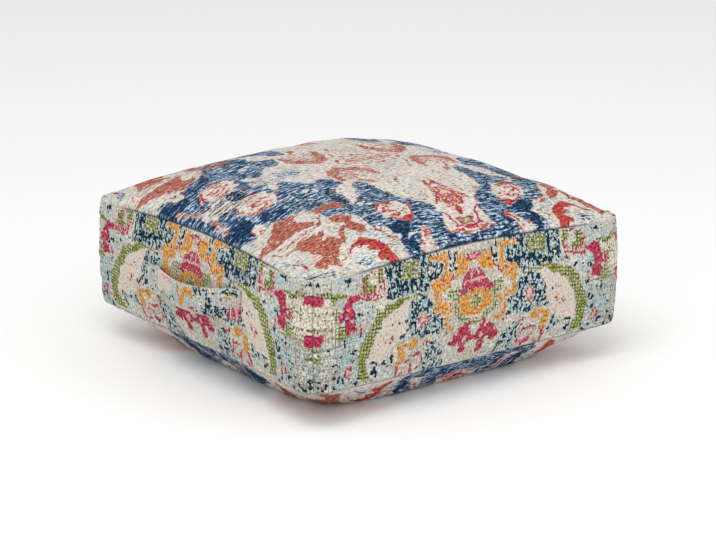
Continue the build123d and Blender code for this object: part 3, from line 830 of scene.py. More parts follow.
# The sides' barred block on the corner: where it starts, its heights, and how soft its edges are
BLOCK_FROM = 250.0
BLOCK_HEIGHTS = (76.0, 150.0)
BLOCK_EDGE = 14.0
BLOCK_EDGE_UP = 8.0
# Where the sides' cloth turns cool and gathers loose threads, where it warms again, and how much
COOL_FROM = 205.0
COOL_RAMP = 30.0
COOL_SHARES = (0.3, 0.5)
COOL_LOSS_IN_BLOCK = 0.9
WARM_FROM = 254.0
WARM_RAMP = 16.0
WARM_SHARE = 0.75
THREAD_RAMP = 20.0
THREAD_HEIGHT = 92.0
THREAD_RAMP_UP = 10.0
THREAD_SHARES = (0.3, 0.5)
THREAD_LOSS_IN_BLOCK = 0.15
# How much of a side's lean is lost toward its top seam, and how every printed edge wavers
LEAN_LOST = 0.6
PRINT_WAVER = 1.3
WAVER_SIZE = 16.0


def wavered(x, y, seed):
    """The printed point moved by a little noise, which makes hand-cut edges of straight ones."""
    at = np.stack([x, y, 0 * x], axis=-1)
    return x + PRINT_WAVER * ripple(at, WAVER_SIZE, seed), y + PRINT_WAVER * ripple(at, WAVER_SIZE, seed + 1)


def side_marks(u, h, lean=0.0, rise=0.0):
    """The side's print, mirrored about its middle. The cloth may be cut with the print leaning
    toward one end, and a little higher in the middle than at the corners. Cool loose threads
    gather toward the corners, and less so in the barred block on the corner itself."""
    share = u / PRINT_SIDE
    lean = lean * (1 - LEAN_LOST * h / PRINT_HEIGHT)
    x, y = wavered(u + lean * (1 - share) / 2, h - rise * (1 - share**2), seed=21)
    reach = np.abs(x)
    marks = painted(reach, y, SIDE_PRINT, BORDER_INKS)
    low, high = BLOCK_HEIGHTS
    in_block = smooth((reach - BLOCK_FROM) / BLOCK_EDGE)
    in_block *= smooth((h - low) / BLOCK_EDGE_UP) * smooth((high - h) / BLOCK_EDGE_UP)
    warm = WARM_SHARE * smooth((reach - WARM_FROM) / WARM_RAMP)
    cold = smooth((reach - COOL_FROM) / COOL_RAMP) * (1 - warm)
    marks["cool"] = (COOL_SHARES[0] + COOL_SHARES[1] * cold) * (1 - COOL_LOSS_IN_BLOCK * in_block)
    gathered = smooth((reach - COOL_FROM) / THREAD_RAMP) * smooth((THREAD_HEIGHT - h) / THREAD_RAMP_UP)
    marks["threads"] = THREAD_SHARES[0] + THREAD_SHARES[1] * gathered - THREAD_LOSS_IN_BLOCK * in_block
    return marks


def top_marks(x, y):
    """The top's print: one quarter, folded over both middles. The front one leans with the cloth."""
    near_seam = smooth((-y - TOP_LEAN_FROM) / TOP_LEAN_REACH)
    centre = TOP_CENTRE + (TOP_CENTRE_AT_SEAM - TOP_CENTRE) * near_seam
    at_x = centre - np.abs(x - centre)
    at_y = TOP_CENTRE_BACK - np.abs(y - TOP_CENTRE_BACK)
    marks = painted(*wavered(at_x, at_y, seed=31), TOP_PRINT, FIELD_INKS)
    marks["cool"] = np.full_like(x, TOP_COOL)
    marks["threads"] = marks["cool"]
    return marks


# Materials

def linear(hex_colour):
    """An sRGB hex colour as the linear numbers that the shader takes."""
    parts = [int(hex_colour[i:i + 2], 16) / 255 for i in (0, 2, 4)]
    return [c / 12.92 if c <= 0.04045 else ((c + 0.055) / 1.055) ** 2.4 for c in parts] + [1.0]


def add_node(tree, kind, *inputs, out=0, **named):
    """Add a node and give one of its outputs. Inputs are fed in order or by name, from a socket or a
    value, and a name that is no input's is a setting."""
    node = tree.nodes.new("ShaderNode" + kind)
    for name, value in named.items():
        if name not in node.inputs:
            setattr(node, name, value)
    feeds = [(node.inputs[name], value) for name, value in named.items() if name in node.inputs]
    feeds += zip([socket for socket in node.inputs if socket.enabled], inputs)
    for socket, value in feeds:
        if isinstance(value, bpy.types.NodeSocket):
            tree.links.new(value, socket)
        else:
            socket.default_value = value
    return node.outputs[out] if node.outputs else None


def new_material(name):
    """An empty node material, and a function that adds a node to it."""
    material = bpy.data.materials.new(name)
    material.use_nodes = True
    material.node_tree.nodes.clear()
    return material, partial(add_node, material.node_tree)


# Settings that many nodes share: the first input times the second plus the third, and a colour mix
TIMES_PLUS = {"operation": "MULTIPLY_ADD"}
COLOUR_MIX = {"out": 2, "data_type": "RGBA"}


def grain(node, place, size, detail=2.0):
    """Noise about 0, mostly from -1 to 1, whose features are size mm wide, high and deep."""
    mapped = node("Mapping", place, Scale=[1 / (length * MM) for length in size])
    return node("Math", node("TexNoise", mapped, 1.0, detail, 0.6), 5.0, -2.5, **TIMES_PLUS)


# The print's fine lengths in mm: specks, worn places, clouds, the crescents' lattice, the canvas.
# The canvas threads are wider than real ones so that they show.
SPECK_SIZE = (4.0, 4.0, 1)
WORN_SIZE = (24, 32, 1)
CLOUD_SIZE = (42, 42, 1)
LATTICE_PITCH = 5.4
LATTICE_TURNS = (4, 97)
WEAVE_PITCH = 1.1
WEAVE_DEPTH = 0.0008
# Loose threads over the ground: their size and colour
THREADS = (
    ((2.2, 60, 1), "6E9CA9"),
    ((60, 2.4, 1), "7BA2AB"),
    ((48, 2.0, 2), "9A7F6C"),
    ((2.0, 40, 2), "8B7B6E"),
    ((2.2, 6.5, 1), "41545F"),
)
# How much worn places thin the ink in mm, how sharply ink ends, and how dark the painted shade in a seam's
# crease is
WORN_INK = 0.35
INK_EDGE = 2.6
CREASE_SHADE = 0.85
SHADE_COLOUR = "28303E"


def wave_scale(pitch):
    """The Wave texture's scale for bands that come every pitch mm."""
    return math.pi / 10 / (pitch * MM)


def printed_cotton(name, inks, ground, cool_ground, upright_grain, level_grain, fleck_grain):
    """Cotton canvas, plain woven, pigment printed to look like a worn carpet: matte, broken ink."""
    material, node = new_material(name)
    place = node("UVMap", uv_map="ClothUV")
    upright = grain(node, place, upright_grain)
    level = grain(node, place, level_grain)
    specks = grain(node, place, SPECK_SIZE, 1.0)
    flecks = grain(node, place, fleck_grain, 0.0)
    worn = grain(node, place, WORN_SIZE)
    cloudy = grain(node, place, CLOUD_SIZE)
    broken = node("Math", upright, level, operation="ADD")

    # The crescents' lattice: two crossed sets of uneven lines
    lines = []
    for turn in LATTICE_TURNS:
        slanted = node("Mapping", place, Rotation=(0, 0, math.radians(turn)))
        lines.append(node("TexWave", slanted, wave_scale(LATTICE_PITCH), 3.0, 1.0, 1.3, out="Fac"))
    net = node("Math", node("Math", *lines, operation="MAXIMUM"), 2.0, -1.5, **TIMES_PLUS)

    # The ground: flecked cloth, cool in worn places, with loose threads of other colours
    shade = node("Math", broken, 0.3, node("Math", cloudy, 0.25, 0.5, **TIMES_PLUS), **TIMES_PLUS)
    shade = node("Math", flecks, 0.3, shade, use_clamp=True, **TIMES_PLUS)
    colour = node("Mix", shade, linear(ground[0]), linear(ground[1]), **COLOUR_MIX)
    patchy = node("Math", worn, 0.5, 0.6, use_clamp=True, **TIMES_PLUS)
    cool = node("Math", node("Attribute", attribute_name="cool", out="Fac"), patchy, operation="MULTIPLY")
    colour = node("Mix", cool, colour, linear(cool_ground), **COLOUR_MIX)
    threads = node("Attribute", attribute_name="threads", out="Fac")
    for size, thread_colour in THREADS:
        drawn = node("Math", grain(node, place, size, 1.0), 2.0, -0.6, use_clamp=True, **TIMES_PLUS)
        drawn = node("Math", drawn, threads, operation="MULTIPLY")
        colour = node("Mix", drawn, colour, linear(thread_colour), **COLOUR_MIX)

    # The inks, each between its two shades by the grains
    tone = node("Math", broken, 0.35, 0.5, **TIMES_PLUS)
    tone = node("Math", flecks, 0.7, tone, use_clamp=True, **TIMES_PLUS)
    for ink, (dark, light, *wears) in inks.items():
        depth = node("Math", worn, WORN_INK, node("Attribute", attribute_name=ink, out="Fac"), **TIMES_PLUS)
        for wear, amount in zip((upright, level, specks, net), wears):
            depth = node("Math", wear, amount, depth, **TIMES_PLUS)
        there = node("Math", depth, INK_EDGE, 0.5, use_clamp=True, **TIMES_PLUS)
        tint = node("Mix", tone, linear(dark), linear(light), **COLOUR_MIX)
        colour = node("Mix", there, colour, tint, **COLOUR_MIX)

    # The weave: bands both ways, made uneven by the grains
    pitch = wave_scale(WEAVE_PITCH)
    bands = [node("TexWave", place, pitch, 0.6, bands_direction=way, out="Fac") for way in "XY"]
    slub = node("Math", node("Math", broken, specks, operation="ADD"), 0.5,
                node("Math", *bands, operation="MAXIMUM"), **TIMES_PLUS)
    bump = node("Bump", Strength=0.6, Distance=WEAVE_DEPTH, Height=slub)
    # Painted shade: dark flecks for the hollows between threads, and a dark line in the crease of a seam
    hollow = node("Math", flecks, -0.5, -0.26, **TIMES_PLUS)
    hollow = node("Math", broken, 0.15, hollow, use_clamp=True, **TIMES_PLUS)
    crease = node("Math", node("Attribute", attribute_name="crease", out="Fac"), CREASE_SHADE, operation="MULTIPLY")
    painted_shade = node("Math", hollow, crease, operation="MAXIMUM")
    colour = node("Mix", painted_shade, colour, linear(SHADE_COLOUR), **COLOUR_MIX)
    shader = node("BsdfPrincipled", **{"Base Color": colour, "Normal": bump, "Roughness": 0.88,
                                       "Specular IOR Level": 0.12})
    node("OutputMaterial", shader)
    return material


def plain_material(name, colours, rough, size, bump_depth, metallic=0.0):
    """A plain finish: two close shades in a fine noise that also gives it its bump."""
    material, node = new_material(name)
    texture = grain(node, node("TexCoord", out="Object"), size)
    factor = node("Math", texture, 0.4, 0.5, use_clamp=True, **TIMES_PLUS)
    colour = node("Mix", factor, linear(colours[0]), linear(colours[1]), **COLOUR_MIX)
    bump = node("Bump", Strength=0.6, Distance=bump_depth, Height=texture)
    shader = node("BsdfPrincipled", **{"Base Color": colour, "Normal": bump, "Roughness": rough,
                                       "Metallic": metallic})
    node("OutputMaterial", shader)
    return material


field_print = printed_cotton("field_printed_cotton", FIELD_INKS, ("C4B7A9", "EFE5DA"), "C0CCCA",
                             upright_grain=(4.6, 9, 1), level_grain=(20, 3.9, 1),
                             fleck_grain=(7.5, 3.1, 1))
border_print = printed_cotton("border_printed_cotton", BORDER_INKS, ("B8A68A", "F8F0E3"), "ADC2C1",
                              upright_grain=(4.6, 11, 1), level_grain=(11, 4.4, 1),
                              fleck_grain=(2.9, 4.2, 1))
# Each plain one: its two shades, its roughness, its grain's size in mm and its bump's depth in m
materials = {
    # Cotton canvas, plain woven and pigment printed
    "printed_cloth": border_print,
    # Herringbone cotton webbing: matte, with ribs along the band
    "webbing": plain_material("cotton_webbing", ("CFC4AE", "E0D7C4"), 0.9, (1.1, 3.3, 0.4), 0.0003),
    # Spun polyester thread: slightly shiny twist
    "thread": plain_material("polyester_thread", ("DCD3C2", "EDE6D8"), 0.6, (0.4, 0.4, 1.1), 0.0001),
    # Woven polyester tape: fine ribs across
    "zip_tape": plain_material("woven_polyester_tape", ("B9AE9A", "CBC1AE"), 0.8, (0.4, 1.7, 2.0), 0.0002),
    # Moulded acetal: smooth and a little waxy
    "zip_teeth": plain_material("moulded_acetal", ("C9BEA8", "D6CCB8"), 0.38, (1.4, 1.4, 1.4), 0.00004),
    # Nickel-plated die-cast zinc: soft grey metal with fine scratches
    "zip_metal": plain_material("nickel_plated_zinc", ("A8A59F", "BDBAB4"), 0.3, (2.5, 2.5, 0.4), 0.00003,
                                metallic=1.0),
    # Plain cotton lawn: thin and chalky
    "liner_cloth": plain_material("cotton_lawn", ("E4E2DC", "EFEDE8"), 0.9, (1.1, 1.1, 1.1), 0.0001),
    # Polyester batting: white, loose fibres
    "fibre": plain_material("polyester_batting", ("E8E8E6", "F6F6F4"), 0.95, (4, 4, 4), 0.002),
    # Open-cell polyurethane foam: cream, pitted
    "foam": plain_material("polyurethane_foam", ("DCCF9E", "EBDFB4"), 0.9, (0.8, 0.8, 0.8), 0.0006),
}


def uv_of(u, h):
    """The cloth's own measure, in mm both ways."""
    return np.stack([u, h], axis=-1)


def dress(piece, body, slot, *nodes, fill=None, material=None):
    """Give a piece its material, by its slot unless one is given, attach it to its body, and hide the CAD
    nodes it stands for.
    """
    piece.data.materials.clear()
    piece.data.materials.append(material or materials[slot])
    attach(piece, body)
    if nodes:
        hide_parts(*nodes)
    return piece


# The cover: top and bottom

COVER_FILL = 0.95


def top_or_bottom(name, surface, count, flip, print_scale=1.0, at_corner=CREASE_AT_CORNER):
    """A square panel from seam to seam in both ways, with the print of the top."""
    steps = np.array(SEAM_TURN_IN)
    run = edged(even_run(count, SQUARE_TIGHTEN), steps)
    past = turned_in(count, steps)
    u, v = np.meshgrid(run, run)
    points = np.stack(surface(u, v), axis=-1)
    x, y = u * PRINT_TOP, v * PRINT_TOP
    reach_u, reach_v = PRINT_TOP - np.abs(x), PRINT_TOP - np.abs(y)
    edge = np.minimum(reach_u, reach_v)
    along = along_seams(x, y, reach_u, reach_v)
    marks = top_marks(x * print_scale, y * print_scale)
    reach = np.minimum(np.abs(x), np.abs(y))
    # The crease mark: painted shade along the seams
    marks["crease"] = creased((away_from_corner(reach, at_corner), edge))
    folds = folds_at(name.removeprefix("cover_"), (u + 1) / 2, (v + 1) / 2)
    return cover_panel(name, points, along, uv_of(x, y), edge, folds, past, past, marks, flip)


# The cover: sides

# The puckers' noise is read this far apart for each side, so that no two sides pucker alike
SIDE_APART = 900.0


def side_panel(name, quarters, columns=300, rows=88, **cut):
    """A side from corner seam to corner seam and from the bottom seam to the top seam."""
    steps = np.array(SEAM_TURN_IN)
    rise = (edged(even_run(rows, RISE_TIGHTEN), steps) + 1) / 2
    s, t = np.meshgrid(edged(even_run(columns, SIDE_TIGHTEN), steps), rise)
    u, h = s * PRINT_SIDE, t * PRINT_HEIGHT
    to_seam = np.minimum(h, PRINT_HEIGHT - h)
    to_corner = PRINT_SIDE - np.abs(u)
    along = along_seams(u, h, to_corner, to_seam, SIDE_APART * quarters)
    marks = side_marks(u, h, **cut)
    # The crease mark: painted shade along the top, bottom and corner seams
    marks["crease"] = creased((away_from_corner(np.abs(u)), PRINT_HEIGHT - h), (1.0, h),
                              (CREASE_UPRIGHT, to_corner))
    return cover_panel(name, side_grid(s, t, quarters), along, uv_of(u, h), np.minimum(to_seam, to_corner),
                       folds_at(quarters, (s + 1) / 2, t), turned_in(rows, steps), turned_in(columns, steps),
                       marks)


# The zip's window in the back, and how the cloth beside it is held: flat, then loose again
WINDOW_HALF = 256.0
WINDOW_HEIGHT = 12.0
WINDOW_RAMP = 4.0
WINDOW_FOLD = (0.5, 1.0, 1.2)
WINDOW_FLAT = 14.0
WINDOW_LOOSE = 26.0
CLOSED_DIP = 1.2
CLOSED_WIDTH = 2.5
BACK = 2


def back_panel(name, up, columns=300, rows=46):
    """Half of the back, between the zip and one seam. Its free edge steps aside along the zip."""
    steps, fold = np.array(SEAM_TURN_IN), np.array(WINDOW_FOLD)
    rise = (edged(even_run(rows), steps) + 1) / 2
    s, t = np.meshgrid(edged(even_run(columns, SIDE_TIGHTEN), steps), rise)
    straight = dict(middle_draw=0.0)
    top = side_surface(s, np.ones_like(s), **straight)[2]
    bottom = side_surface(s, np.zeros_like(s), **straight)[2]
    reach = np.abs(side_surface(s, 0.5 + 0 * s, **straight)[0])
    opening = WINDOW_HEIGHT / 2 * smooth((WINDOW_HALF - reach) / WINDOW_RAMP + 0.5)
    free, sewn = MIDDLE + up * opening, top if up > 0 else bottom
    z = free + (sewn - free) * t if up > 0 else sewn + (free - sewn) * t
    level = (z - bottom) / (top - bottom)
    x, y, _ = side_surface(s, level, **straight)
    points = np.stack([*turned(x, y, BACK), z], axis=-1)
    u, h = s * PRINT_SIDE, level * PRINT_HEIGHT
    to_seam, to_free, to_corner = np.abs(z - sewn), np.abs(z - free), PRINT_SIDE - np.abs(u)
    closed = smooth((reach - WINDOW_HALF) / WINDOW_RAMP + 0.5)
    dip = closed * CLOSED_DIP * np.exp(-((to_free / CLOSED_WIDTH) ** 2))
    points = points - outward(points) * dip[..., None]
    marks = side_marks(u, h)
    # The crease mark: painted shade along the seams
    marks["crease"] = creased((away_from_corner(np.abs(u)), to_seam), (CREASE_UPRIGHT, to_corner))
    below, above = (fold, steps) if up > 0 else (steps, fold)
    flat = smooth(to_free / WINDOW_FLAT)
    edge = np.minimum(to_seam, to_corner) * flat + SWELL_REACH * (1 - flat)
    return cover_panel(name, points, along_seams(u, h, to_corner, to_seam, SIDE_APART * BACK), uv_of(u, h),
                       edge, folds_at(BACK, (s + 1) / 2, level),
                       np.concatenate([below[::-1], np.zeros(rows), above]), turned_in(columns, steps), marks,
                       loose=smooth((to_free - WINDOW_FLAT) / WINDOW_LOOSE))


cover_top = top_or_bottom("cover_top", crown_surface, count=296, flip=False)
dress(cover_top, "pouf", "printed_cloth", "top_panel", fill=COVER_FILL, material=field_print)
cover_bottom = top_or_bottom("cover_bottom", base_surface, count=220, flip=True, print_scale=1.06,
                             at_corner=1.0)
dress(cover_bottom, "pouf", "printed_cloth", "bottom_panel", fill=COVER_FILL, material=field_print)
# The left side's cloth is cut a little askew
LEFT_CUT = {"lean": 28.0, "rise": 5.0}
for side, quarters, cut in (("front", 0, {}), ("right", 1, {}), ("left", 3, LEFT_CUT)):
    dress(side_panel(f"cover_{side}", quarters, **cut), "pouf", "printed_cloth", f"{side}_panel",
          fill=COVER_FILL)
for level_name, up in (("upper", 1), ("lower", -1)):
    dress(back_panel(f"cover_back_{level_name}", up), "pouf", "printed_cloth", f"back_panel_{level_name}",
          fill=COVER_FILL)


# The strap: its lengths, its lie on the side, and how it bows out, waves and is printed

STRAP_HALF = 127.0
STRAP_SEAT = 24.0
STRAP_WIDTH = 48.0
STRAP_LOW = 0.3
STRAP_THICK = 3.4
STRAP_BOW_TOP = 22.0
STRAP_BOW_LOW = 18.0
STRAP_BOW_LEAN = 0.3
STRAP_BOW_POWER = 0.9
STRAP_BEND = 6.0
STRAP_MIDDLE = 147.0
STRAP_TILT = 8.5
STRAP_SAG = 4.0
STRAP_GATHER = 0.08
STRAP_WAVE = 0.5
STRAP_WAVE_LENGTH = 40.0
STRAP_FILL = 0.2
STRAP_COOL = 0.6
STRAP_THREADS = 0.4
# A band's section, how square its edges and how flat its faces are, and its rows' crowding at the ends
BAND_EDGE = 0.35
BAND_FACE = 0.7
BAND_TIGHTEN = 0.2
WEBBING_WIDTH_SHARE = 0.9
WEBBING_LOW = 1.4
WEBBING_HIGH = 2.6


def strap_line(way, level, lift):
    """A point of the strap: way along it, level across it from -1 to 1, lift off the side in mm.
    It lies on the side at both sewn ends, and bows out between them by a power of a sine, further
    toward the near end, where it is also sewn on higher."""
    share = np.clip((STRAP_HALF - STRAP_SEAT - np.abs(way)) / (STRAP_HALF - STRAP_SEAT), 0, 1)
    bow = smooth(share * STRAP_BEND) * np.sin(share * math.pi / 2) ** STRAP_BOW_POWER
    out = (STRAP_BOW_TOP * (1 + level) + STRAP_BOW_LOW * (1 - level)) / 2
    out = out * bow * (1 + STRAP_BOW_LEAN * way / STRAP_HALF)
    half_width = STRAP_WIDTH / 2 * (1 - STRAP_GATHER * bow)
    z = STRAP_MIDDLE + STRAP_TILT * way / STRAP_HALF + level * half_width - STRAP_SAG * bow
    x, y, _ = side_surface(way / PRINT_SIDE, (z - BOTTOM_SEAM) / SIDE_RISE)
    x, y = turned(x, y, 3)
    waves = STRAP_WAVE * ripple(np.stack([way, z, 0 * z], axis=-1), STRAP_WAVE_LENGTH, seed=12)
    return np.stack([x - out - lift - waves * bow, y, z], axis=-1)


def make_band(name, half, width_share, low, high, rows, around, marks_at=None):
    """A closed band along the strap: a rounded rectangle carried along it, and each end closed by
    quads from its upper to its lower face."""
    way = half * even_run(rows, BAND_TIGHTEN)
    angle = (np.arange(around) + 0.5) * 2 * math.pi / around
    flat, bulge = np.cos(angle), np.sin(angle)
    level = np.sign(flat) * np.abs(flat) ** BAND_EDGE * width_share
    lift = (low + high) / 2 + (high - low) / 2 * np.sign(bulge) * np.abs(bulge) ** BAND_FACE
    way_grid, level_grid = np.meshgrid(way, level, indexing="ij")
    points = strap_line(way_grid, level_grid, np.broadcast_to(lift, way_grid.shape))
    index = np.arange(rows * around).reshape(rows, around)
    ahead = np.roll(index, -1, axis=1)
    sides = np.stack([index[:-1], index[1:], ahead[1:], ahead[:-1]], axis=-1).reshape(-1, 4)
    upper, lower = index[:, :around // 2], index[:, :around // 2 - 1:-1]
    ends = np.stack([upper[:, :-1], upper[:, 1:], lower[:, 1:], lower[:, :-1]], axis=-1)
    faces = np.concatenate([sides, ends[0], ends[-1, :, ::-1]])[:, ::-1]
    h = (level_grid + 1) * STRAP_WIDTH / 2
    marks = marks_at(way_grid, h) if marks_at else None
    return make_mesh(name, points, faces, uv_of(way_grid, h), marks)


# The strap's print: x from its middle toward the near end, y across it
STRAP_PRINT = (
    ("wash", -0.8, patch, (-128, -2), (128, -2), (128, 50), (-128, 50)),
    ("navy", 1.6, dots, 2.2, (-122, 24), (-112, 40), (-104, 16), (-118, 8), (-88, 8)),
    ("crimson", 0.8, stroke, (-100, 12, 1.6), (-98, 20, 2)),
    ("moon", 4, patch, (-100, 16), (-96, 47), (-70, 51), (-40, 51), (-32, 32), (-46, 22), (-70, 14)),
    ("pink", 1.4, stroke, (-70, 44, 1.6), (-52, 42, 2.4), (-38, 44, 2)),
    ("olive", 1.0, stroke, (-84, 10, 1.6), (-70, 14, 2), (-56, 8, 1.6)),
    ("navy", 1.0, stroke, (-48, 10, 1.6), (-38, 20, 2.4), (-28, 12, 1.6)),
    ("wash", 0.2, patch, (-34, 36), (-12, 38), (-12, 48), (-34, 48)),
    ("orange", 2.2, stroke, (-11, 40, 3.4), (-11, 24, 4.2), (-6, 9, 4)),
    ("orange", 2.2, stroke, (-4, 12, 3.4), (1, 30, 4.4), (9, 37, 5.4), (20, 37, 5.4), (28, 29, 4.4),
     (25, 22, 2.8)),
    ("cream", 1, oval, 14, 20, 9, 9),
    ("navy", 2.0, stroke, (30, 47, 2), (37, 41, 3.4), (34, 35, 2)),
    ("navy", 2.0, stroke, (44, 44, 2), (49, 36, 2.4)),
    ("navy", 2.0, dots, 2.8, (61, 35), (66, 29), (70, 24), (58, 44), (76, 40)),
    ("crimson", 1.6, stroke, (28, 26, 2), (40, 24, 2.6), (50, 18, 2)),
    ("crimson", 1.4, stroke, (12, 10, 1.6), (24, 8, 2.4), (34, 3, 1.6)),
    ("navy", 0.5, patch, (46, 0), (92, 2), (92, 16), (76, 22), (58, 20), (48, 12)),
    ("crimson", 1.4, stroke, (86, 22, 1.8), (88, 30, 2.4)),
    ("crimson", 1.3, patch, (95, -2), (128, -2), (128, 29), (112, 28), (96, 22)),
    ("pink", 0.9, stroke, (104, 2, 1.2), (108, 22, 1.4)),
    ("pink", 0.9, stroke, (116, 22, 1.4), (120, 4, 1.2)),
    ("orange", 1.0, oval, 99, 31, 9, 5.5),
    ("pink", 1.0, stroke, (112, 32, 2), (124, 34, 2)),
    ("navy", 1.8, oval, 96, 42, 7, 5),
    ("cream", 1, oval, 96, 42, 2.6, 2),
    ("navy", 1.6, stroke, (106, 42, 3.8), (120, 40, 3.8)),
)


def strap_marks(u, h):
    """The strap's own print, cut from another place of the cloth."""
    marks = painted(*wavered(u, h, seed=41), STRAP_PRINT, BORDER_INKS)
    marks["cool"] = np.full_like(u, STRAP_COOL)
    marks["threads"] = np.full_like(u, STRAP_THREADS)
    marks["crease"] = np.zeros_like(u)
    return marks


strap = make_band("grab_strap", STRAP_HALF, 1.0, STRAP_LOW, STRAP_LOW + STRAP_THICK, rows=150, around=64,
                  marks_at=strap_marks)
dress(strap, "pouf", "printed_cloth", "handle_strap", fill=STRAP_FILL)
webbing = make_band("strap_webbing", STRAP_HALF - STRAP_SEAT, WEBBING_WIDTH_SHARE, WEBBING_LOW, WEBBING_HIGH,
                    rows=40, around=24)
dress(webbing, "pouf", "webbing", "handle_webbing")


# The stitches that hold the strap: a box of short raised threads at each of its ends
STITCH_MARGIN = 4.0
STITCH_PITCH = 3.2
STITCH_HALF = 1.25
THREAD_RADIUS = 0.5
THREAD_RINGS = np.array([-1.0, -0.6, 0.0, 0.6, 1.0])
THREAD_PLUMP = np.array([0.45, 0.9, 1.0, 0.9, 0.45])


def box_of_stitches(first, last):
    """The middles and ways of the stitches round a box in the strap's plane, in mm along and across."""
    reach = STRAP_WIDTH / 2 - STITCH_MARGIN
    corners = np.array([(first, -reach), (last, -reach), (last, reach), (first, reach), (first, -reach)])
    middles, ways = [], []
    for start, end in zip(corners[:-1], corners[1:]):
        length = np.hypot(*(end - start))
        count = round(length / STITCH_PITCH)
        at = (np.arange(count)[:, None] + 0.5) / count
        middles.append(start + (end - start) * at)
        ways.append(np.tile((end - start) / length, (count, 1)))
    return np.concatenate(middles), np.concatenate(ways)


def stitched(name, boxes):
    """Stitches as four-sided spindles, each closed by a quad at both ends and half sunk in the cloth."""
    middle, way = [np.concatenate(parts) for parts in zip(*(box_of_stitches(*box) for box in boxes))]
    side = np.stack([-way[:, 1], way[:, 0]], axis=1)
    turn = np.arange(4) * math.pi / 2
    radius = THREAD_RADIUS * THREAD_PLUMP[:, None]
    plan = (middle[:, None, None] + way[:, None, None] * (STITCH_HALF * THREAD_RINGS)[:, None, None]
            + side[:, None, None] * (radius * np.cos(turn))[..., None])
    lift = STRAP_LOW + STRAP_THICK + radius * np.sin(turn)
    lift = np.broadcast_to(lift, plan.shape[:-1])
    points = strap_line(plan[..., 0], plan[..., 1] / (STRAP_WIDTH / 2), lift)
    ring = np.arange(4)
    tube = [np.stack([r * 4 + ring, r * 4 + np.roll(ring, -1), (r + 1) * 4 + np.roll(ring, -1),
                      (r + 1) * 4 + ring], axis=1) for r in range(len(THREAD_RINGS) - 1)]
    last = (len(THREAD_RINGS) - 1) * 4 + ring
    quads = np.concatenate([*tube, ring[None, ::-1], last[None]])
    size = len(THREAD_RINGS) * 4
    faces = (np.arange(len(middle)) * size)[:, None, None] + quads
    return make_mesh(name, points, faces.reshape(-1, 4))


seat = (STRAP_HALF - STRAP_SEAT, STRAP_HALF - STITCH_MARGIN)
stitches = stitched("strap_stitches", (seat, tuple(-way for way in seat)))
dress(stitches, "pouf", "thread", "handle_stitches")


# The filling: closed layers that lie one inside another in the cover

def layer_piece(name, outer, inner, ring=False):
    """A closed layer between two grids of points: both grids, and walls between their rims. The last
    column of a ring's grid goes on to its first."""
    rows, columns, _ = outer.shape
    count = rows * columns
    index = np.arange(count).reshape(rows, columns)
    if ring:
        index = np.concatenate([index, index[:, :1]], axis=1)
        rims = (index[-1], index[0, ::-1])
    else:
        rim = np.concatenate([index[0, :-1], index[:-1, -1], index[-1, :0:-1], index[::-1, 0]])
        rims = (rim[::-1],)
    faces = strips(index[:-1], index[1:])
    walls = [strips(rim, rim + count) for rim in rims]
    points = np.concatenate([outer.reshape(-1, 3), inner.reshape(-1, 3)])
    return make_mesh(name, points, np.concatenate([faces, faces[:, ::-1] + count, *walls]))


def square_layer(surface, inset, shift, count=44):
    """A square grid of one of the two square surfaces, drawn in and shifted along its height."""
    run = even_run(count, SQUARE_TIGHTEN)
    u, v = np.meshgrid(run, run)
    return np.stack(surface(u, v, inset, shift), axis=-1)


def band_layer(inset, count=49, rows=14):
    """The box side all round, as one closed ring of points from seam to seam."""
    s, t = np.meshgrid(np.linspace(-1, 1, count)[:-1], np.linspace(0, 1, rows))
    return np.concatenate([side_grid(s, t, quarters, inset) for quarters in range(4)], axis=1)


# Each layer's inset from the cover and its thickness, and how much lower the block's top lies
LAYERS = (("liner", "liner_cloth", 9.0, 0.8), ("wrap", "fibre", 10.2, 22.0))
LAYER_FILL = 0.9
CORE_INSET = 32.6
CORE_TOP_DROP = 22.0
for layer_name, slot_name, inset, thick in LAYERS:
    inside = inset + thick
    top = layer_piece(f"{layer_name}_upper", square_layer(crown_surface, inset, inset),
                      square_layer(crown_surface, inside, inside + thick))
    lower = layer_piece(f"{layer_name}_lower", square_layer(base_surface, inset, inset)[:, ::-1],
                        square_layer(base_surface, inside, inside)[:, ::-1])
    band = layer_piece(f"{layer_name}_ring", band_layer(inset), band_layer(inside), ring=True)
    for piece, part in ((top, "top"), (lower, "bottom"), (band, "band")):
        dress(piece, "pouf", slot_name, f"{layer_name}_{part}", fill=LAYER_FILL)
core = layer_piece("foam_block", square_layer(crown_surface, CORE_INSET, CORE_INSET + CORE_TOP_DROP),
                   square_layer(base_surface, CORE_INSET, CORE_INSET))
dress(core, "pouf", "foam", "foam_core", fill=1.0)

# The zip keeps its CAD shapes and gets its finishes
CAD_FINISH = {
    "zip_tape_upper": "zip_tape", "zip_tape_lower": "zip_tape",
    "zip_teeth_upper": "zip_teeth", "zip_teeth_lower": "zip_teeth",
    "zip_top_stops": "zip_metal", "zip_bottom_stop": "zip_metal",
    "zip_slider": "zip_metal", "zip_pull": "zip_metal",
}
for node, slot_name in CAD_FINISH.items():
    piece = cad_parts[node]
    piece.data.materials.clear()
    piece.data.materials.append(materials[slot_name])

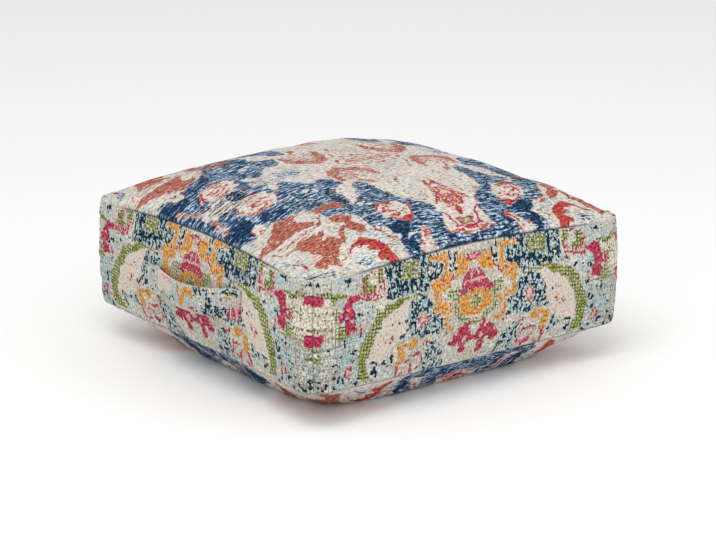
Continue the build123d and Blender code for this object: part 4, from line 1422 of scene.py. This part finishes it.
# Floor, light and camera, in metres
FLOOR_REACH = 30.0
FLOOR_COLOUR = "F4F4F3"
SKY_COLOUR = "FBFBFC"
SKY_STRENGTH = 0.85
floor_mesh = bpy.data.meshes.new("floor")
corners = [(x * FLOOR_REACH, y * FLOOR_REACH, 0) for x, y in ((-1, -1), (1, -1), (1, 1), (-1, 1))]
floor_mesh.from_pydata(corners, [], [(0, 1, 2, 3)])
floor = bpy.data.objects.new("floor", floor_mesh)
bpy.context.scene.collection.objects.link(floor)
floor_material, floor_node = new_material("matte_white_paint")
floor_paint = floor_node("BsdfPrincipled", **{"Base Color": linear(FLOOR_COLOUR), "Roughness": 0.9})
floor_node("OutputMaterial", floor_paint)
floor_mesh.materials.append(floor_material)

world = bpy.data.worlds.new("studio")
bpy.context.scene.world = world
world.use_nodes = True
background = world.node_tree.nodes["Background"]
background.inputs["Color"].default_value = linear(SKY_COLOUR)
background.inputs["Strength"].default_value = SKY_STRENGTH


def softbox(name, place, aim, size, power):
    """A square area light at a place in metres, turned to its aim."""
    light = bpy.data.lights.new(name, "AREA")
    light.shape = "SQUARE"
    light.size = size
    light.energy = power
    lamp = bpy.data.objects.new(name, light)
    bpy.context.scene.collection.objects.link(lamp)
    point_at(lamp, place, aim)


def point_at(thing, place, aim):
    """Put a light or camera at a place, looking at its aim."""
    thing.location = place
    thing.rotation_euler = (Vector(aim) - Vector(place)).to_track_quat("-Z", "Y").to_euler()


softbox("key_softbox", place=(-1.6, -1.2, 3.4), aim=(0, 0, 0.1), size=2.4, power=64)
softbox("fill_softbox", place=(1.8, -3.0, 1.6), aim=(0, 0, 0.15), size=2.6, power=18)

CAMERA_DISTANCE = 3.6676
CAMERA_AZIMUTH = math.radians(-36.76)
CAMERA_RISE = math.radians(17.0)
CAMERA_AIM = (0.0, 0.0, 0.1)
CAMERA_LENS = 114.04
CAMERA_SENSOR = 36.0
CAMERA_SHIFT = (0.0047, 0.0222)
camera_data = bpy.data.cameras.new("camera")
camera_data.lens = CAMERA_LENS
camera_data.sensor_width = CAMERA_SENSOR
camera_data.shift_x, camera_data.shift_y = CAMERA_SHIFT
camera = bpy.data.objects.new("camera", camera_data)
bpy.context.scene.collection.objects.link(camera)
level_way = CAMERA_DISTANCE * math.cos(CAMERA_RISE)
point_at(camera, (level_way * math.sin(CAMERA_AZIMUTH), -level_way * math.cos(CAMERA_AZIMUTH),
                  CAMERA_AIM[2] + CAMERA_DISTANCE * math.sin(CAMERA_RISE)), CAMERA_AIM)
bpy.context.scene.camera = camera
bpy.context.scene.view_settings.view_transform = "Standard"

bpy.context.view_layer.update()
